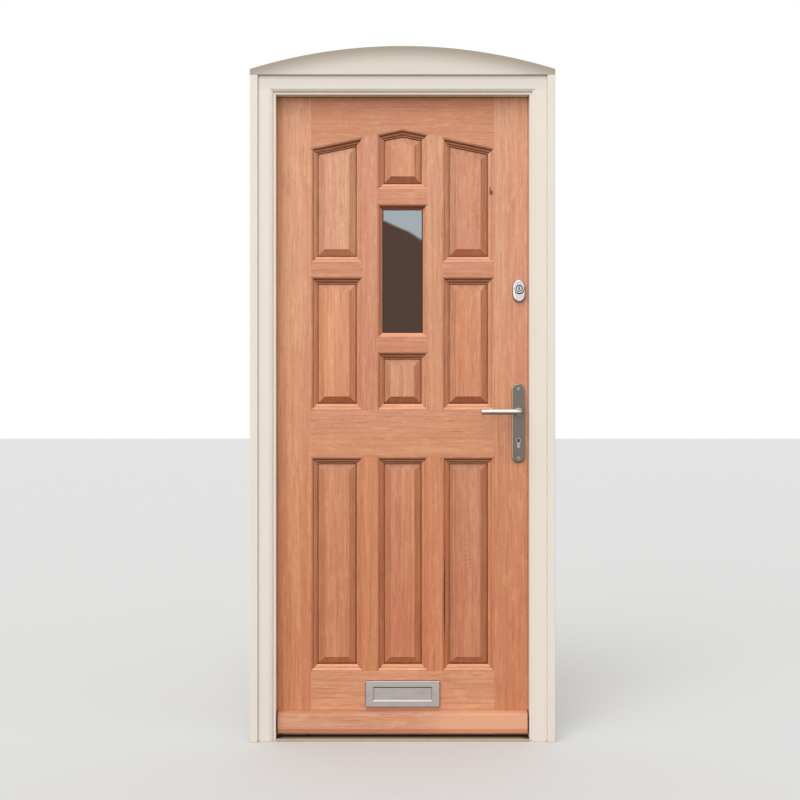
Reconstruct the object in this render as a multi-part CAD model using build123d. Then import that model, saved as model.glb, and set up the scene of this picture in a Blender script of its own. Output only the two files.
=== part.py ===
from build123d import *
from math import hypot, radians, tan
import os

# A panelled hardwood front door in its painted timber frame, in millimetres.
# +X is to the right seen from outside, the outside faces -Y, and +Z is up.
# The origin is the middle of the threshold's underside, at floor level.

# The leaf
LEAF_WIDTH = 813.0
LEAF_HEIGHT = 2032.0
LEAF_THICKNESS = 44.0
LEAF_BOTTOM = 10.0
EDGE_GAP = 3.0
STILE_WIDTH = 115.0
MUNTIN_WIDTH = 46.0
SIDE_OPENING_EXTRA = 4.0
BOTTOM_RAIL_WIDTH = 201.5
LOCK_RAIL_WIDTH = 150.0
LOCK_RAIL_LOW = 106.75
TOP_RAIL_CROWN = 108.0
GABLE_DEGREES = 11.75
CROSS_RAIL_WIDTH = 45.5

# Where the cross rails stand, as shares of the height from the lock rail to the gable's peak
SIDE_CROSS_SHARE = 0.4737
WINDOW_FOOT_SHARE = 0.206
WINDOW_HEAD_SHARE = 0.7335

# The mouldings worked on the rails and stiles, and the panels between them
MOULD_WIDTH = 20.0
QUIRK = 1.3
BEAD_WIDTH = 9.0
BEAD_DEPTH = 5.5
BEAD_STEP = 1.6
LIP_DEPTH = 12.5
LIP_FLAT = 1.5
OVOLO_ACROSS = 0.68
OVOLO_DOWN = 0.32
COVE_ACROSS = 1.0
COVE_DOWN = 0.6
GROOVE_WIDTH = 10.0
GROOVE_DEPTH = 12.0
TONGUE_SLACK = 1.5
TONGUE_PLAY = 0.2
FIELD_THICKNESS = 33.0
FIELD_STEP = 1.5
FIELD_MARGIN = 22.5
PANEL_SIDE_PLAY = 0.5

# Tenons that hold the leaf together
TENON_THICKNESS = 14.0
TENON_LENGTH = 45.0
TENON_SHOULDER = 25.0
STUB_LENGTH = 12.0
STUB_SHOULDER = 6.0
TENON_END_PLAY = 2.0

# The window
GLASS_MOULD_WIDTH = 16.0
GLASS_REBATE = 12.0
PANE_THICKNESS = 4.0
PANE_GAP = 10.0
PANE_EDGE_PLAY = 2.0
SPACER_INSET = 1.0
SPACER_WIDTH = 8.0
LIP_BACK = 6.0
BEAD_ROUND = 6.0

# The weatherboard along the foot of the leaf
WEATHERBOARD_END_PLAY = 11.5
WEATHERBOARD_BOTTOM = 20.0
WEATHERBOARD_TOP = 88.0
WEATHERBOARD_DEPTH = 25.0
WEATHERBOARD_FALL = 13.0
WEATHERBOARD_SHOULDER = 4.5
WEATHERBOARD_UNDERCUT = 14.0
WEATHERBOARD_NOSE_BACK = 7.0
WEATHERBOARD_TOE = 3.5
DRIP_WIDTH = 5.0
DRIP_DEPTH = 4.0

# The frame
FRAME_DEPTH = 95.0
JAMB_FACE = 55.0
HEAD_FACE = 59.0
REBATE_WIDTH = 10.0
SEAL_GAP = 3.0
FRAME_MOULD_WIDTH = 16.0
FRAME_QUIRK = 1.5
FRAME_BEAD_WIDTH = 8.5
FRAME_BEAD_DEPTH = 5.0
STRIP_WIDTH = 24.5
STRIP_THICKNESS = 30.0
STRIP_PROUD = 8.0
STRIP_ROUND = 2.0
ARCH_SPRING = 18.0
ARCH_RISE = 72.0
JAMB_TENON_LENGTH = 40.0
THRESHOLD_HEIGHT = 6.0
THRESHOLD_NOSE = 42.0
THRESHOLD_FRONT_EDGE = 3.0
THRESHOLD_CHAMFER = 5.0
RIB_COUNT = 4
RIB_PITCH = 9.0
RIB_WIDTH = 3.0
RIB_DEPTH = 1.2
SEAL_EDGE = 1.0
SEAL_WIDTH = 8.0
RUN_GAP = 0.3
FIXING_RADIUS = 5.0
FIXING_FROM_FLOOR = 150.0
FIXING_FROM_TOP = 92.0
FIXING_STEP_UP = 550.0
FIXING_STEP_DOWN = 600.0
FIXING_Y = 24.0

# Hinges
HINGE_FROM_BOTTOM = 275.0
HINGE_FROM_TOP = 200.0
HINGE_LENGTH = 100.0
HINGE_LEAF_WIDTH = 30.0
HINGE_THICKNESS = 2.5
KNUCKLE_COUNT = 5
KNUCKLE_GAP = 0.3
KNUCKLE_RADIUS = 5.5
PIN_RADIUS = 3.0
PIN_HEAD_RADIUS = 4.5
PIN_HEAD_HEIGHT = 3.0
PIN_HEAD_CHAMFER = 0.8
PIN_OFFSET = 6.0
RUN_FIT = 0.05
HINGE_SCREW_SPACING = 36.0
HINGE_SCREW_INNER = 9.0
HINGE_SCREW_OUTER = 18.5

# Screws and bolts
SCREW_RADIUS = 2.0
SCREW_HEAD_RADIUS = 4.2
SCREW_HEAD_DEPTH = 2.2
SCREW_LENGTH = 28.0
BOLT_RADIUS = 2.5
BOLT_HEAD_RADIUS = 4.8
BOLT_HEAD_DEPTH = 2.6
SLEEVE_RADIUS = 3.5
SLEEVE_HEAD_RADIUS = 5.0
SLEEVE_HEAD_DEPTH = 3.0
SLEEVE_PAST = 8.0
SCREW_BITE = 18.0

# Mortice lock, its heights taken from the lever's
LOCK_BACKSET = 39.0
LEVER_Z = 1037.0
CYLINDER_DROP = 92.0
FACEPLATE_THICKNESS = 3.0
FACEPLATE_WIDTH = 24.0
FACEPLATE_ABOVE_LEVER = 48.0
FACEPLATE_BELOW_CYLINDER = 45.0
LOCK_CASE_DEPTH = 60.0
LOCK_CASE_THICKNESS = 16.0
LOCK_CASE_MARGIN = 12.0
LOCK_PLAY = 0.3
LATCH_WIDTH = 13.0
LATCH_HEIGHT = 24.0
LATCH_LENGTH = 30.0
LATCH_THROW = 11.0
DEADBOLT_HEIGHT = 30.0
DEADBOLT_LENGTH = 48.0
DEADBOLT_DROP = 54.0
SPINDLE_SIDE = 8.0
SPINDLE_REACH = 22.0
SPINDLE_BORE = 6.0
STRIKE_MARGIN = 42.0
STRIKE_WIDTH = 27.0
STRIKE_THICKNESS = 3.0
STRIKE_POCKET = 26.0
STRIKE_LIP = 4.0
STRIKE_SCREW_EDGE = 10.0
FACEPLATE_SCREW_EDGE = 6.0
BOLT_HOLE_PLAY = 1.5
BOLT_TIP = 3.0

# Euro-profile cylinder
EURO_ROUND = 8.5
EURO_STEM = 5.0
EURO_DROP = 19.5
EURO_PROUD = 3.0
PLUG_RADIUS = 6.4
PLUG_DEPTH = 26.0
CAM_WIDTH = 9.6
CAM_REACH = 15.0
CAM_HALF_WIDTH = 3.5
CAM_PLAY = 0.5
CAM_SLOT_MARGIN = 1.0
KEYWAY_WIDTH = 1.8
KEYWAY_HEIGHT = 8.0
KEYWAY_DEPTH = 18.0
KEYWAY_DROP = 0.8
TURN_LENGTH = 30.0
TURN_THICKNESS = 9.0
TURN_DEPTH = 15.0
TURN_CHAMFER = 1.5
TURN_ROSE_RADIUS = 9.0
TURN_ROSE_THICKNESS = 2.5

# Lever handles on long backplates
PLATE_WIDTH = 41.0
PLATE_HEIGHT = 250.0
PLATE_DROP = 37.5
PLATE_THICKNESS = 8.0
PLATE_BEVEL = 2.2
PLATE_SCREW_SPACING = 220.0
LEVER_RADIUS = 9.0
LEVER_REACH = 119.5
LEVER_PROJECTION = 52.0
LEVER_ELBOW = 13.0
COLLAR_RADIUS = 11.5
COLLAR_LENGTH = 3.0
LEVER_END_CHAMFER = 1.0

# Letter plate
LETTER_Z = 140.0
LETTER_WIDTH = 235.0
LETTER_HEIGHT = 82.5
LETTER_THICKNESS = 9.0
LETTER_EDGE = 1.5
APERTURE_MARGIN_SIDE = 23.25
APERTURE_MARGIN = 18.25
APERTURE_BEVEL = 4.0
FLAP_LAP = 3.0
FLAP_THICKNESS = 2.0
FLAP_BARREL = 2.0
FLAP_PIVOT_RADIUS = 1.4
FLAP_PIVOT_LENGTH = 4.0
FLAP_PLAY = 0.4
POCKET_DEPTH = 5.0
POCKET_PLAY = 2.0
LETTER_BOLT_EDGE = 8.5
INNER_PLATE_THICKNESS = 5.0
INNER_LUG = 6.0
INNER_LUG_WIDTH = 5.0
INNER_FLAP_LAP = 5.0

# Night latch and its cylinder pull
NIGHT_BACKSET = 36.5
NIGHT_Z = 1427.5
PULL_WIDTH = 39.0
PULL_HEIGHT = 71.5
PULL_END_RADIUS = 16.5
PULL_DROP = 7.5
PULL_BASE = 5.0
PULL_LIP = 14.0
PULL_SHRINK = 8.0
PULL_RIM = 3.0
PULL_CHAMFER = 2.0
DISH_WIDTH = 31.0
DISH_CORNER = 8.0
DISH_FLOOR_DROP = 17.0
DISH_TOP_DROP = 7.0
DISH_GROOVE = 3.0
DISH_GROOVE_DEPTH = 3.5
RIM_FACE_RADIUS = 11.25
RIM_NOSE_RADIUS = 10.9
RIM_NOSE_BACK = 3.0
RIM_HEAD_RADIUS = 8.2
RIM_HEAD_LENGTH = 3.0
RIM_BODY_RADIUS = 15.0
RIM_BODY_LENGTH = 30.0
RIM_BOLT_OFFSET = 10.0
RIM_BOLT_GRIP = 8.0
RIM_HOLE_PLAY = 1.0
RIM_PLUG_RADIUS = 6.5
RIM_TAIL_WIDTH = 7.0
RIM_TAIL_THICKNESS = 2.5
RIM_TAIL_REACH = 3.0
RIM_TAIL_HOLE = 5.0
CASE_WIDTH = 78.0
CASE_HEIGHT = 64.0
CASE_DEPTH = 26.0
CASE_ROUND = 5.0
CASE_CHAMFER = 1.5
CASE_SCREW_EDGE = 9.0
NIGHT_BOLT_HEIGHT = 20.0
NIGHT_BOLT_THICKNESS = 12.0
NIGHT_BOLT_LENGTH = 36.0
NIGHT_BOLT_THROW = 15.0
NIGHT_BOLT_BACK = 6.5
NIGHT_BOLT_FLAT = 1.0
NIGHT_KNOB_OFFSET = 21.0
NIGHT_KNOB_RADIUS = 14.0
NIGHT_KNOB_DEPTH = 16.0
NIGHT_KNOB_CHAMFER = 2.5
NIGHT_KNOB_SHAFT = 5.0
NIGHT_SHAFT_DEPTH = 12.0
NIGHT_NECK_RADIUS = 7.7
NIGHT_NECK_LENGTH = 5.5
KEEP_WIDTH = 29.0
KEEP_HEIGHT = 54.0
KEEP_DEPTH = 25.5
KEEP_ROUND = 2.5
KEEP_SCREW_EDGE = 6.5
KEEP_SCREW_SIDE = 8.5
KEEP_POCKET_PLAY = 2.5

# Planes and lines that follow from the sizes above
HALF_LEAF = LEAF_WIDTH / 2
LEAF_TOP = LEAF_BOTTOM + LEAF_HEIGHT
FRAME_FRONT = -FRAME_DEPTH / 2
FRAME_BACK = FRAME_DEPTH / 2
LEAF_BACK = FRAME_BACK
LEAF_FRONT = LEAF_BACK - LEAF_THICKNESS
LEAF_MID = (LEAF_FRONT + LEAF_BACK) / 2
REBATE_Y = LEAF_FRONT - SEAL_GAP
REBATE_X = HALF_LEAF + EDGE_GAP
STOP_X = REBATE_X - REBATE_WIDTH
JAMB_OUT = STOP_X + JAMB_FACE
STOP_Z = LEAF_TOP + EDGE_GAP - REBATE_WIDTH
HEAD_TOP = STOP_Z + HEAD_FACE
FRAME_OUT = JAMB_OUT + STRIP_WIDTH
STRIP_FRONT = FRAME_FRONT - STRIP_PROUD
STRIP_BACK = STRIP_FRONT + STRIP_THICKNESS
STILE_IN = HALF_LEAF - STILE_WIDTH
BOTTOM_RAIL_TOP = LEAF_BOTTOM + BOTTOM_RAIL_WIDTH
GABLE_PEAK = LEAF_TOP - TOP_RAIL_CROWN
LOCK_RAIL_MIDDLE = (BOTTOM_RAIL_TOP + GABLE_PEAK) / 2 - LOCK_RAIL_LOW
LOCK_RAIL_TOP = LOCK_RAIL_MIDDLE + LOCK_RAIL_WIDTH / 2
LOCK_RAIL_BOTTOM = LOCK_RAIL_MIDDLE - LOCK_RAIL_WIDTH / 2
GABLE_SLOPE = tan(radians(GABLE_DEGREES))
UPPER_HEIGHT = GABLE_PEAK - LOCK_RAIL_TOP
SIDE_CROSS_RAIL_BOTTOM = LOCK_RAIL_TOP + UPPER_HEIGHT * SIDE_CROSS_SHARE
WINDOW_BOTTOM_RAIL = LOCK_RAIL_TOP + UPPER_HEIGHT * WINDOW_FOOT_SHARE
WINDOW_TOP_RAIL = LOCK_RAIL_TOP + UPPER_HEIGHT * WINDOW_HEAD_SHARE
OPENINGS_WIDTH = LEAF_WIDTH - 2 * STILE_WIDTH - 2 * MUNTIN_WIDTH
CENTRE_HALF = (OPENINGS_WIDTH - 2 * SIDE_OPENING_EXTRA) / 6
MUNTIN_OUT = CENTRE_HALF + MUNTIN_WIDTH
PIN_X = -(HALF_LEAF + EDGE_GAP / 2)
PIN_Y = LEAF_BACK + PIN_OFFSET
LOW_HINGE_Z = LEAF_BOTTOM + HINGE_FROM_BOTTOM
HIGH_HINGE_Z = LEAF_TOP - HINGE_FROM_TOP
HINGE_HEIGHTS = (LOW_HINGE_Z, (LOW_HINGE_Z + HIGH_HINGE_Z) / 2, HIGH_HINGE_Z)
FIXING_TOP = LEAF_TOP - FIXING_FROM_TOP
FIXING_HEIGHTS = (
    FIXING_FROM_FLOOR,
    FIXING_FROM_FLOOR + FIXING_STEP_UP,
    FIXING_TOP - FIXING_STEP_DOWN,
    FIXING_TOP,
)
LOCK_X = HALF_LEAF - LOCK_BACKSET
CYLINDER_Z = LEVER_Z - CYLINDER_DROP
DEADBOLT_Z = LEVER_Z - DEADBOLT_DROP
FACEPLATE_TOP = LEVER_Z + FACEPLATE_ABOVE_LEVER
FACEPLATE_BOTTOM = CYLINDER_Z - FACEPLATE_BELOW_CYLINDER
PLATE_CENTRE_Z = LEVER_Z - PLATE_DROP
NIGHT_X = HALF_LEAF - NIGHT_BACKSET
NIGHT_KNOB_X = NIGHT_X - NIGHT_KNOB_OFFSET
WEATHERBOARD_HALF = HALF_LEAF - WEATHERBOARD_END_PLAY
HALF = LEAF_THICKNESS / 2
OVERRUN = 60.0
APERTURE_WIDTH = LETTER_WIDTH - 2 * APERTURE_MARGIN_SIDE
APERTURE_HEIGHT = LETTER_HEIGHT - 2 * APERTURE_MARGIN
LETTER_BOLT_X = LETTER_WIDTH / 2 - LETTER_BOLT_EDGE
SLOT_X = (
    -APERTURE_WIDTH / 2 - FLAP_LAP - POCKET_PLAY,
    APERTURE_WIDTH / 2 + FLAP_LAP + POCKET_PLAY,
)
SLOT_Z = (
    LETTER_Z - APERTURE_HEIGHT / 2 - FLAP_LAP - POCKET_PLAY,
    LETTER_Z + APERTURE_HEIGHT / 2 + FLAP_LAP + POCKET_PLAY,
)
FLAP_AXIS = (
    LEAF_FRONT - POCKET_DEPTH + FLAP_BARREL + FLAP_PLAY,
    LETTER_Z + APERTURE_HEIGHT / 2 + FLAP_LAP - FLAP_BARREL,
)
INNER_FLAP_HALF = SLOT_X[1] + INNER_FLAP_LAP
INNER_FLAP_AXIS = (
    LEAF_BACK + INNER_PLATE_THICKNESS + FLAP_PLAY + FLAP_BARREL,
    SLOT_Z[1] + INNER_LUG,
)

parts = {}


def block(x0, x1, y0, y1, z0, z1):
    """A box from its low and high corners."""
    middle = Pos((x0 + x1) / 2, (y0 + y1) / 2, (z0 + z1) / 2)
    return middle * Box(x1 - x0, y1 - y0, z1 - z0)


def rod(axis, radius, start, end, across):
    """A cylinder along X, Y or Z; across is its place on the other two axes, in their order."""
    middle, length = (start + end) / 2, end - start
    if axis == "X":
        return Pos(middle, across[0], across[1]) * Rot(0, 90, 0) * Cylinder(radius, length)
    if axis == "Y":
        return Pos(across[0], middle, across[1]) * Rot(90, 0, 0) * Cylinder(radius, length)
    return Pos(across[0], across[1], middle) * Cylinder(radius, length)


def upright(sketch, y0, y1, x=0.0, z=0.0):
    """A sketch drawn in front view, x across and z up, given its thickness from y0 to y1."""
    return extrude(Pos(x, y1, z) * (Plane.XZ * sketch), amount=y1 - y0)


def slab(outline, y0, y1):
    """A flat piece whose outline is given in front view."""
    return upright(make_face(Polyline(*outline, close=True)), y0, y1)


def along_x(outline, x0, x1):
    """A profile of y and z run from x0 to x1."""
    profile = Plane.YZ * make_face(Polyline(*outline, close=True))
    return extrude(Pos(x0, 0, 0) * profile, amount=x1 - x0)


def crossing(first, second):
    """Where two lines in front view meet, each given by two points."""
    (ax, az), (bx, bz) = first
    (cx, cz), (dx, dz) = second
    ux, uz, vx, vz = bx - ax, bz - az, dx - cx, dz - cz
    share = ((cx - ax) * vz - (cz - az) * vx) / (ux * vz - uz * vx)
    return (ax + ux * share, az + uz * share)


def inset(outline, distance):
    """A clockwise outline with every side moved inwards by one distance."""
    sides = []
    for (x0, z0), (x1, z1) in zip(outline, outline[1:] + outline[:1]):
        length = hypot(x1 - x0, z1 - z0)
        dx, dz = (z1 - z0) / length * distance, (x0 - x1) / length * distance
        sides.append(((x0 + dx, z0 + dz), (x1 + dx, z1 + dz)))
    return [crossing(sides[i - 1], sides[i]) for i in range(len(sides))]


def run_along(profile, start, end):
    """A profile of inward distance and y, run past both ends of one side of a clockwise outline."""
    (x0, z0), (x1, z1) = start, end
    length = hypot(x1 - x0, z1 - z0)
    ux, uz = (x1 - x0) / length, (z1 - z0) / length
    place = Plane(
        origin=(x0 - ux * OVERRUN, LEAF_MID, z0 - uz * OVERRUN),
        x_dir=(uz, 0, -ux),
        z_dir=(ux, 0, uz),
    )
    return extrude(place * profile, amount=length + 2 * OVERRUN)


def mitred_side(profile, outline, width, index):
    """One side of a moulding round an opening, its ends cut on the mitre."""
    inner = inset(outline, width)
    after = (index + 1) % len(outline)
    corners = [outline[index], outline[after], inner[after], inner[index]]
    reach = FRAME_DEPTH
    return run_along(profile, outline[index], outline[after]) & slab(corners, -reach, reach)


def panel_moulding():
    """The section worked on both faces of a rail, with the panel's groove between them."""
    step_y = HALF - QUIRK - BEAD_DEPTH
    lip_y = HALF - LIP_DEPTH
    half_groove = GROOVE_WIDTH / 2
    flat = MOULD_WIDTH - LIP_FLAT
    floor = MOULD_WIDTH - GROOVE_DEPTH
    edges = []
    for side in (-1, 1):
        bead = ThreePointArc(
            (0, side * (HALF - QUIRK)),
            (BEAD_WIDTH * OVOLO_ACROSS, side * (HALF - QUIRK - BEAD_DEPTH * OVOLO_DOWN)),
            (BEAD_WIDTH, side * step_y),
        )
        step = Line((BEAD_WIDTH, side * step_y), (BEAD_WIDTH, side * (step_y - BEAD_STEP)))
        sag_x = (BEAD_WIDTH + flat) / 2 + COVE_ACROSS
        sag_y = (step_y - BEAD_STEP + lip_y) / 2 + COVE_DOWN
        cove = ThreePointArc(
            (BEAD_WIDTH, side * (step_y - BEAD_STEP)), (sag_x, side * sag_y), (flat, side * lip_y)
        )
        lip = Polyline(
            (flat, side * lip_y),
            (MOULD_WIDTH, side * lip_y),
            (MOULD_WIDTH, side * half_groove),
            (floor, side * half_groove),
        )
        edges += [*bead.edges(), *step.edges(), *cove.edges(), *lip.edges()]
    edges += Line((floor, -half_groove), (floor, half_groove)).edges()
    edges += Line((0, QUIRK - HALF), (0, HALF - QUIRK)).edges()
    return make_face(edges)


def glass_moulding():
    """The section round the window: moulded outside, rebated inside for the glass."""
    lip_y = LIP_DEPTH - HALF
    floor = GLASS_MOULD_WIDTH - GLASS_REBATE
    bead = ThreePointArc(
        (0, QUIRK - HALF),
        (BEAD_WIDTH * OVOLO_ACROSS, QUIRK + BEAD_DEPTH * OVOLO_DOWN - HALF),
        (BEAD_WIDTH, QUIRK + BEAD_DEPTH - HALF),
    )
    rest = Polyline(
        (BEAD_WIDTH, QUIRK + BEAD_DEPTH - HALF),
        (BEAD_WIDTH, QUIRK + BEAD_DEPTH + BEAD_STEP - HALF),
        (GLASS_MOULD_WIDTH, lip_y),
        (GLASS_MOULD_WIDTH, -LIP_BACK),
        (floor, -LIP_BACK),
        (floor, HALF),
        (0, HALF),
        (0, QUIRK - HALF),
    )
    return make_face([*bead.edges(), *rest.edges()])


def gable(x):
    """The height of the top rail's shallow gabled lower edge."""
    return GABLE_PEAK - GABLE_SLOPE * abs(x)


def opening(x0, x1, z0, z1=None):
    """A clockwise outline from its bottom left corner; without z1 its top follows the gable."""
    if z1 is not None:
        return [(x0, z0), (x0, z1), (x1, z1), (x1, z0)]
    top = [(x0, gable(x0)), (x1, gable(x1))]
    if x0 < 0 < x1:
        top.insert(1, (0.0, GABLE_PEAK))
    return [(x0, z0), *top, (x1, z0)]


def screw(head, into, length):
    """A countersunk screw from the middle of its head, which also cuts its own hole."""
    from_head = (Align.CENTER, Align.CENTER, Align.MIN)
    cone = Cone(SCREW_HEAD_RADIUS, SCREW_RADIUS, SCREW_HEAD_DEPTH, align=from_head)
    shank = Cylinder(SCREW_RADIUS, length, align=from_head)
    return Plane(head, z_dir=into) * (cone + shank)


# The leaf's openings, and which member carries the moulding of each side, clockwise from the left
SIDE_TOP_Z = SIDE_CROSS_RAIL_BOTTOM + CROSS_RAIL_WIDTH
OPENINGS = {
    "lower_left": (
        opening(-STILE_IN, -MUNTIN_OUT, BOTTOM_RAIL_TOP, LOCK_RAIL_BOTTOM),
        ["hinge_stile", "lock_rail", "muntin_lower_left", "bottom_rail"],
    ),
    "lower_centre": (
        opening(-CENTRE_HALF, CENTRE_HALF, BOTTOM_RAIL_TOP, LOCK_RAIL_BOTTOM),
        ["muntin_lower_left", "lock_rail", "muntin_lower_right", "bottom_rail"],
    ),
    "lower_right": (
        opening(MUNTIN_OUT, STILE_IN, BOTTOM_RAIL_TOP, LOCK_RAIL_BOTTOM),
        ["muntin_lower_right", "lock_rail", "lock_stile", "bottom_rail"],
    ),
    "middle_left": (
        opening(-STILE_IN, -MUNTIN_OUT, LOCK_RAIL_TOP, SIDE_CROSS_RAIL_BOTTOM),
        ["hinge_stile", "cross_rail_left", "muntin_upper_left", "lock_rail"],
    ),
    "middle_centre": (
        opening(-CENTRE_HALF, CENTRE_HALF, LOCK_RAIL_TOP, WINDOW_BOTTOM_RAIL),
        ["muntin_upper_left", "cross_rail_low", "muntin_upper_right", "lock_rail"],
    ),
    "middle_right": (
        opening(MUNTIN_OUT, STILE_IN, LOCK_RAIL_TOP, SIDE_CROSS_RAIL_BOTTOM),
        ["muntin_upper_right", "cross_rail_right", "lock_stile", "lock_rail"],
    ),
    "window": (
        opening(
            -CENTRE_HALF, CENTRE_HALF, WINDOW_BOTTOM_RAIL + CROSS_RAIL_WIDTH, WINDOW_TOP_RAIL
        ),
        ["muntin_upper_left", "cross_rail_high", "muntin_upper_right", "cross_rail_low"],
    ),
    "upper_left": (
        opening(-STILE_IN, -MUNTIN_OUT, SIDE_TOP_Z),
        ["hinge_stile", "top_rail", "muntin_upper_left", "cross_rail_left"],
    ),
    "upper_centre": (
        opening(-CENTRE_HALF, CENTRE_HALF, WINDOW_TOP_RAIL + CROSS_RAIL_WIDTH),
        ["muntin_upper_left", "top_rail", "top_rail", "muntin_upper_right", "cross_rail_high"],
    ),
    "upper_right": (
        opening(MUNTIN_OUT, STILE_IN, SIDE_TOP_Z),
        ["muntin_upper_right", "top_rail", "lock_stile", "cross_rail_right"],
    ),
}


def leaf_bars():
    """The members of the leaf as plain bars, before their mouldings are added."""
    y0, y1 = LEAF_FRONT, LEAF_BACK
    bars = {
        "hinge_stile": block(-HALF_LEAF, -STILE_IN, y0, y1, LEAF_BOTTOM, LEAF_TOP),
        "lock_stile": block(STILE_IN, HALF_LEAF, y0, y1, LEAF_BOTTOM, LEAF_TOP),
        "bottom_rail": block(-STILE_IN, STILE_IN, y0, y1, LEAF_BOTTOM, BOTTOM_RAIL_TOP),
        "lock_rail": block(-STILE_IN, STILE_IN, y0, y1, LOCK_RAIL_BOTTOM, LOCK_RAIL_TOP),
        "top_rail": slab(
            [
                (-STILE_IN, gable(STILE_IN)),
                (-STILE_IN, LEAF_TOP),
                (STILE_IN, LEAF_TOP),
                (STILE_IN, gable(STILE_IN)),
                (0, GABLE_PEAK),
            ],
            y0,
            y1,
        ),
    }
    for side, name in ((-1, "left"), (1, "right")):
        x0, x1 = sorted((side * CENTRE_HALF, side * MUNTIN_OUT))
        bars[f"muntin_lower_{name}"] = block(x0, x1, y0, y1, BOTTOM_RAIL_TOP, LOCK_RAIL_BOTTOM)
        bars[f"muntin_upper_{name}"] = slab(opening(x0, x1, LOCK_RAIL_TOP), y0, y1)
        x0, x1 = sorted((side * MUNTIN_OUT, side * STILE_IN))
        bars[f"cross_rail_{name}"] = block(x0, x1, y0, y1, SIDE_CROSS_RAIL_BOTTOM, SIDE_TOP_Z)
    for name, z in (("low", WINDOW_BOTTOM_RAIL), ("high", WINDOW_TOP_RAIL)):
        bars[f"cross_rail_{name}"] = block(
            -CENTRE_HALF, CENTRE_HALF, y0, y1, z, z + CROSS_RAIL_WIDTH
        )
    return bars


def tenons():
    """Each tenon as owner, receiver, its block and the longer block of its mortise."""
    found = []
    half_thick, half_stub = TENON_THICKNESS / 2, GROOVE_WIDTH / 2

    def level(owner, receiver, x, side, z0, z1, length, half):
        y0, y1 = LEAF_MID - half, LEAF_MID + half
        end, deep = x + side * length, x + side * (length + TENON_END_PLAY)
        low, high = sorted((x, end))
        low_deep, high_deep = sorted((x, deep))
        tongue = block(low, high, y0, y1, z0, z1)
        found.append((owner, receiver, tongue, block(low_deep, high_deep, y0, y1, z0, z1)))

    def plumb(owner, receiver, x0, x1, z, side, length):
        y0, y1 = LEAF_MID - half_stub, LEAF_MID + half_stub
        low, high = sorted((z, z + side * length))
        low_deep, high_deep = sorted((z, z + side * (length + TENON_END_PLAY)))
        tongue = block(x0, x1, y0, y1, low, high)
        found.append((owner, receiver, tongue, block(x0, x1, y0, y1, low_deep, high_deep)))

    rails = {
        "bottom_rail": (LEAF_BOTTOM, BOTTOM_RAIL_TOP),
        "lock_rail": (LOCK_RAIL_BOTTOM, LOCK_RAIL_TOP),
        "top_rail": (gable(STILE_IN), LEAF_TOP),
    }
    for side, stile in ((-1, "hinge_stile"), (1, "lock_stile")):
        for rail, (z0, z1) in rails.items():
            low, high = z0 + TENON_SHOULDER, z1 - TENON_SHOULDER
            level(rail, stile, side * STILE_IN, side, low, high, TENON_LENGTH, half_thick)
    for side, name in ((-1, "left"), (1, "right")):
        rail, muntin = f"cross_rail_{name}", f"muntin_upper_{name}"
        stile = "hinge_stile" if side < 0 else "lock_stile"
        low, high = SIDE_CROSS_RAIL_BOTTOM + STUB_SHOULDER, SIDE_TOP_Z - STUB_SHOULDER
        level(rail, stile, side * STILE_IN, side, low, high, STUB_LENGTH, half_stub)
        level(rail, muntin, side * MUNTIN_OUT, -side, low, high, STUB_LENGTH, half_stub)
        centres = {"cross_rail_low": WINDOW_BOTTOM_RAIL, "cross_rail_high": WINDOW_TOP_RAIL}
        for centre, z in centres.items():
            low, high = z + STUB_SHOULDER, z + CROSS_RAIL_WIDTH - STUB_SHOULDER
            level(centre, muntin, side * CENTRE_HALF, side, low, high, STUB_LENGTH, half_stub)
        x0, x1 = sorted((side * CENTRE_HALF, side * MUNTIN_OUT))
        x0, x1 = x0 + STUB_SHOULDER, x1 - STUB_SHOULDER
        plumb(muntin, "lock_rail", x0, x1, LOCK_RAIL_TOP, -1, STUB_LENGTH)
        edge = gable(MUNTIN_OUT)
        plumb(muntin, "top_rail", x0, x1, edge, 1, gable(CENTRE_HALF) - edge + STUB_LENGTH)
        lower = f"muntin_lower_{name}"
        plumb(lower, "lock_rail", x0, x1, LOCK_RAIL_BOTTOM, 1, STUB_LENGTH)
        plumb(lower, "bottom_rail", x0, x1, BOTTOM_RAIL_TOP, -1, STUB_LENGTH)
    return found


def leaf_members():
    """Stiles, rails and muntins with their mouldings, tenons and mortises."""
    members = leaf_bars()
    sections = {"panel": panel_moulding(), "glass": glass_moulding()}
    added = {name: [] for name in members}
    for name, (outline, owners) in OPENINGS.items():
        kind = "glass" if name == "window" else "panel"
        width = GLASS_MOULD_WIDTH if kind == "glass" else MOULD_WIDTH
        for index, owner in enumerate(owners):
            added[owner].append(mitred_side(sections[kind], outline, width, index))
    for owner, receiver, tongue, mortise in tenons():
        added[owner].append(tongue)
        members[receiver] -= mortise
    for name in members:
        members[name] = members[name] + added[name]
    return members


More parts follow.
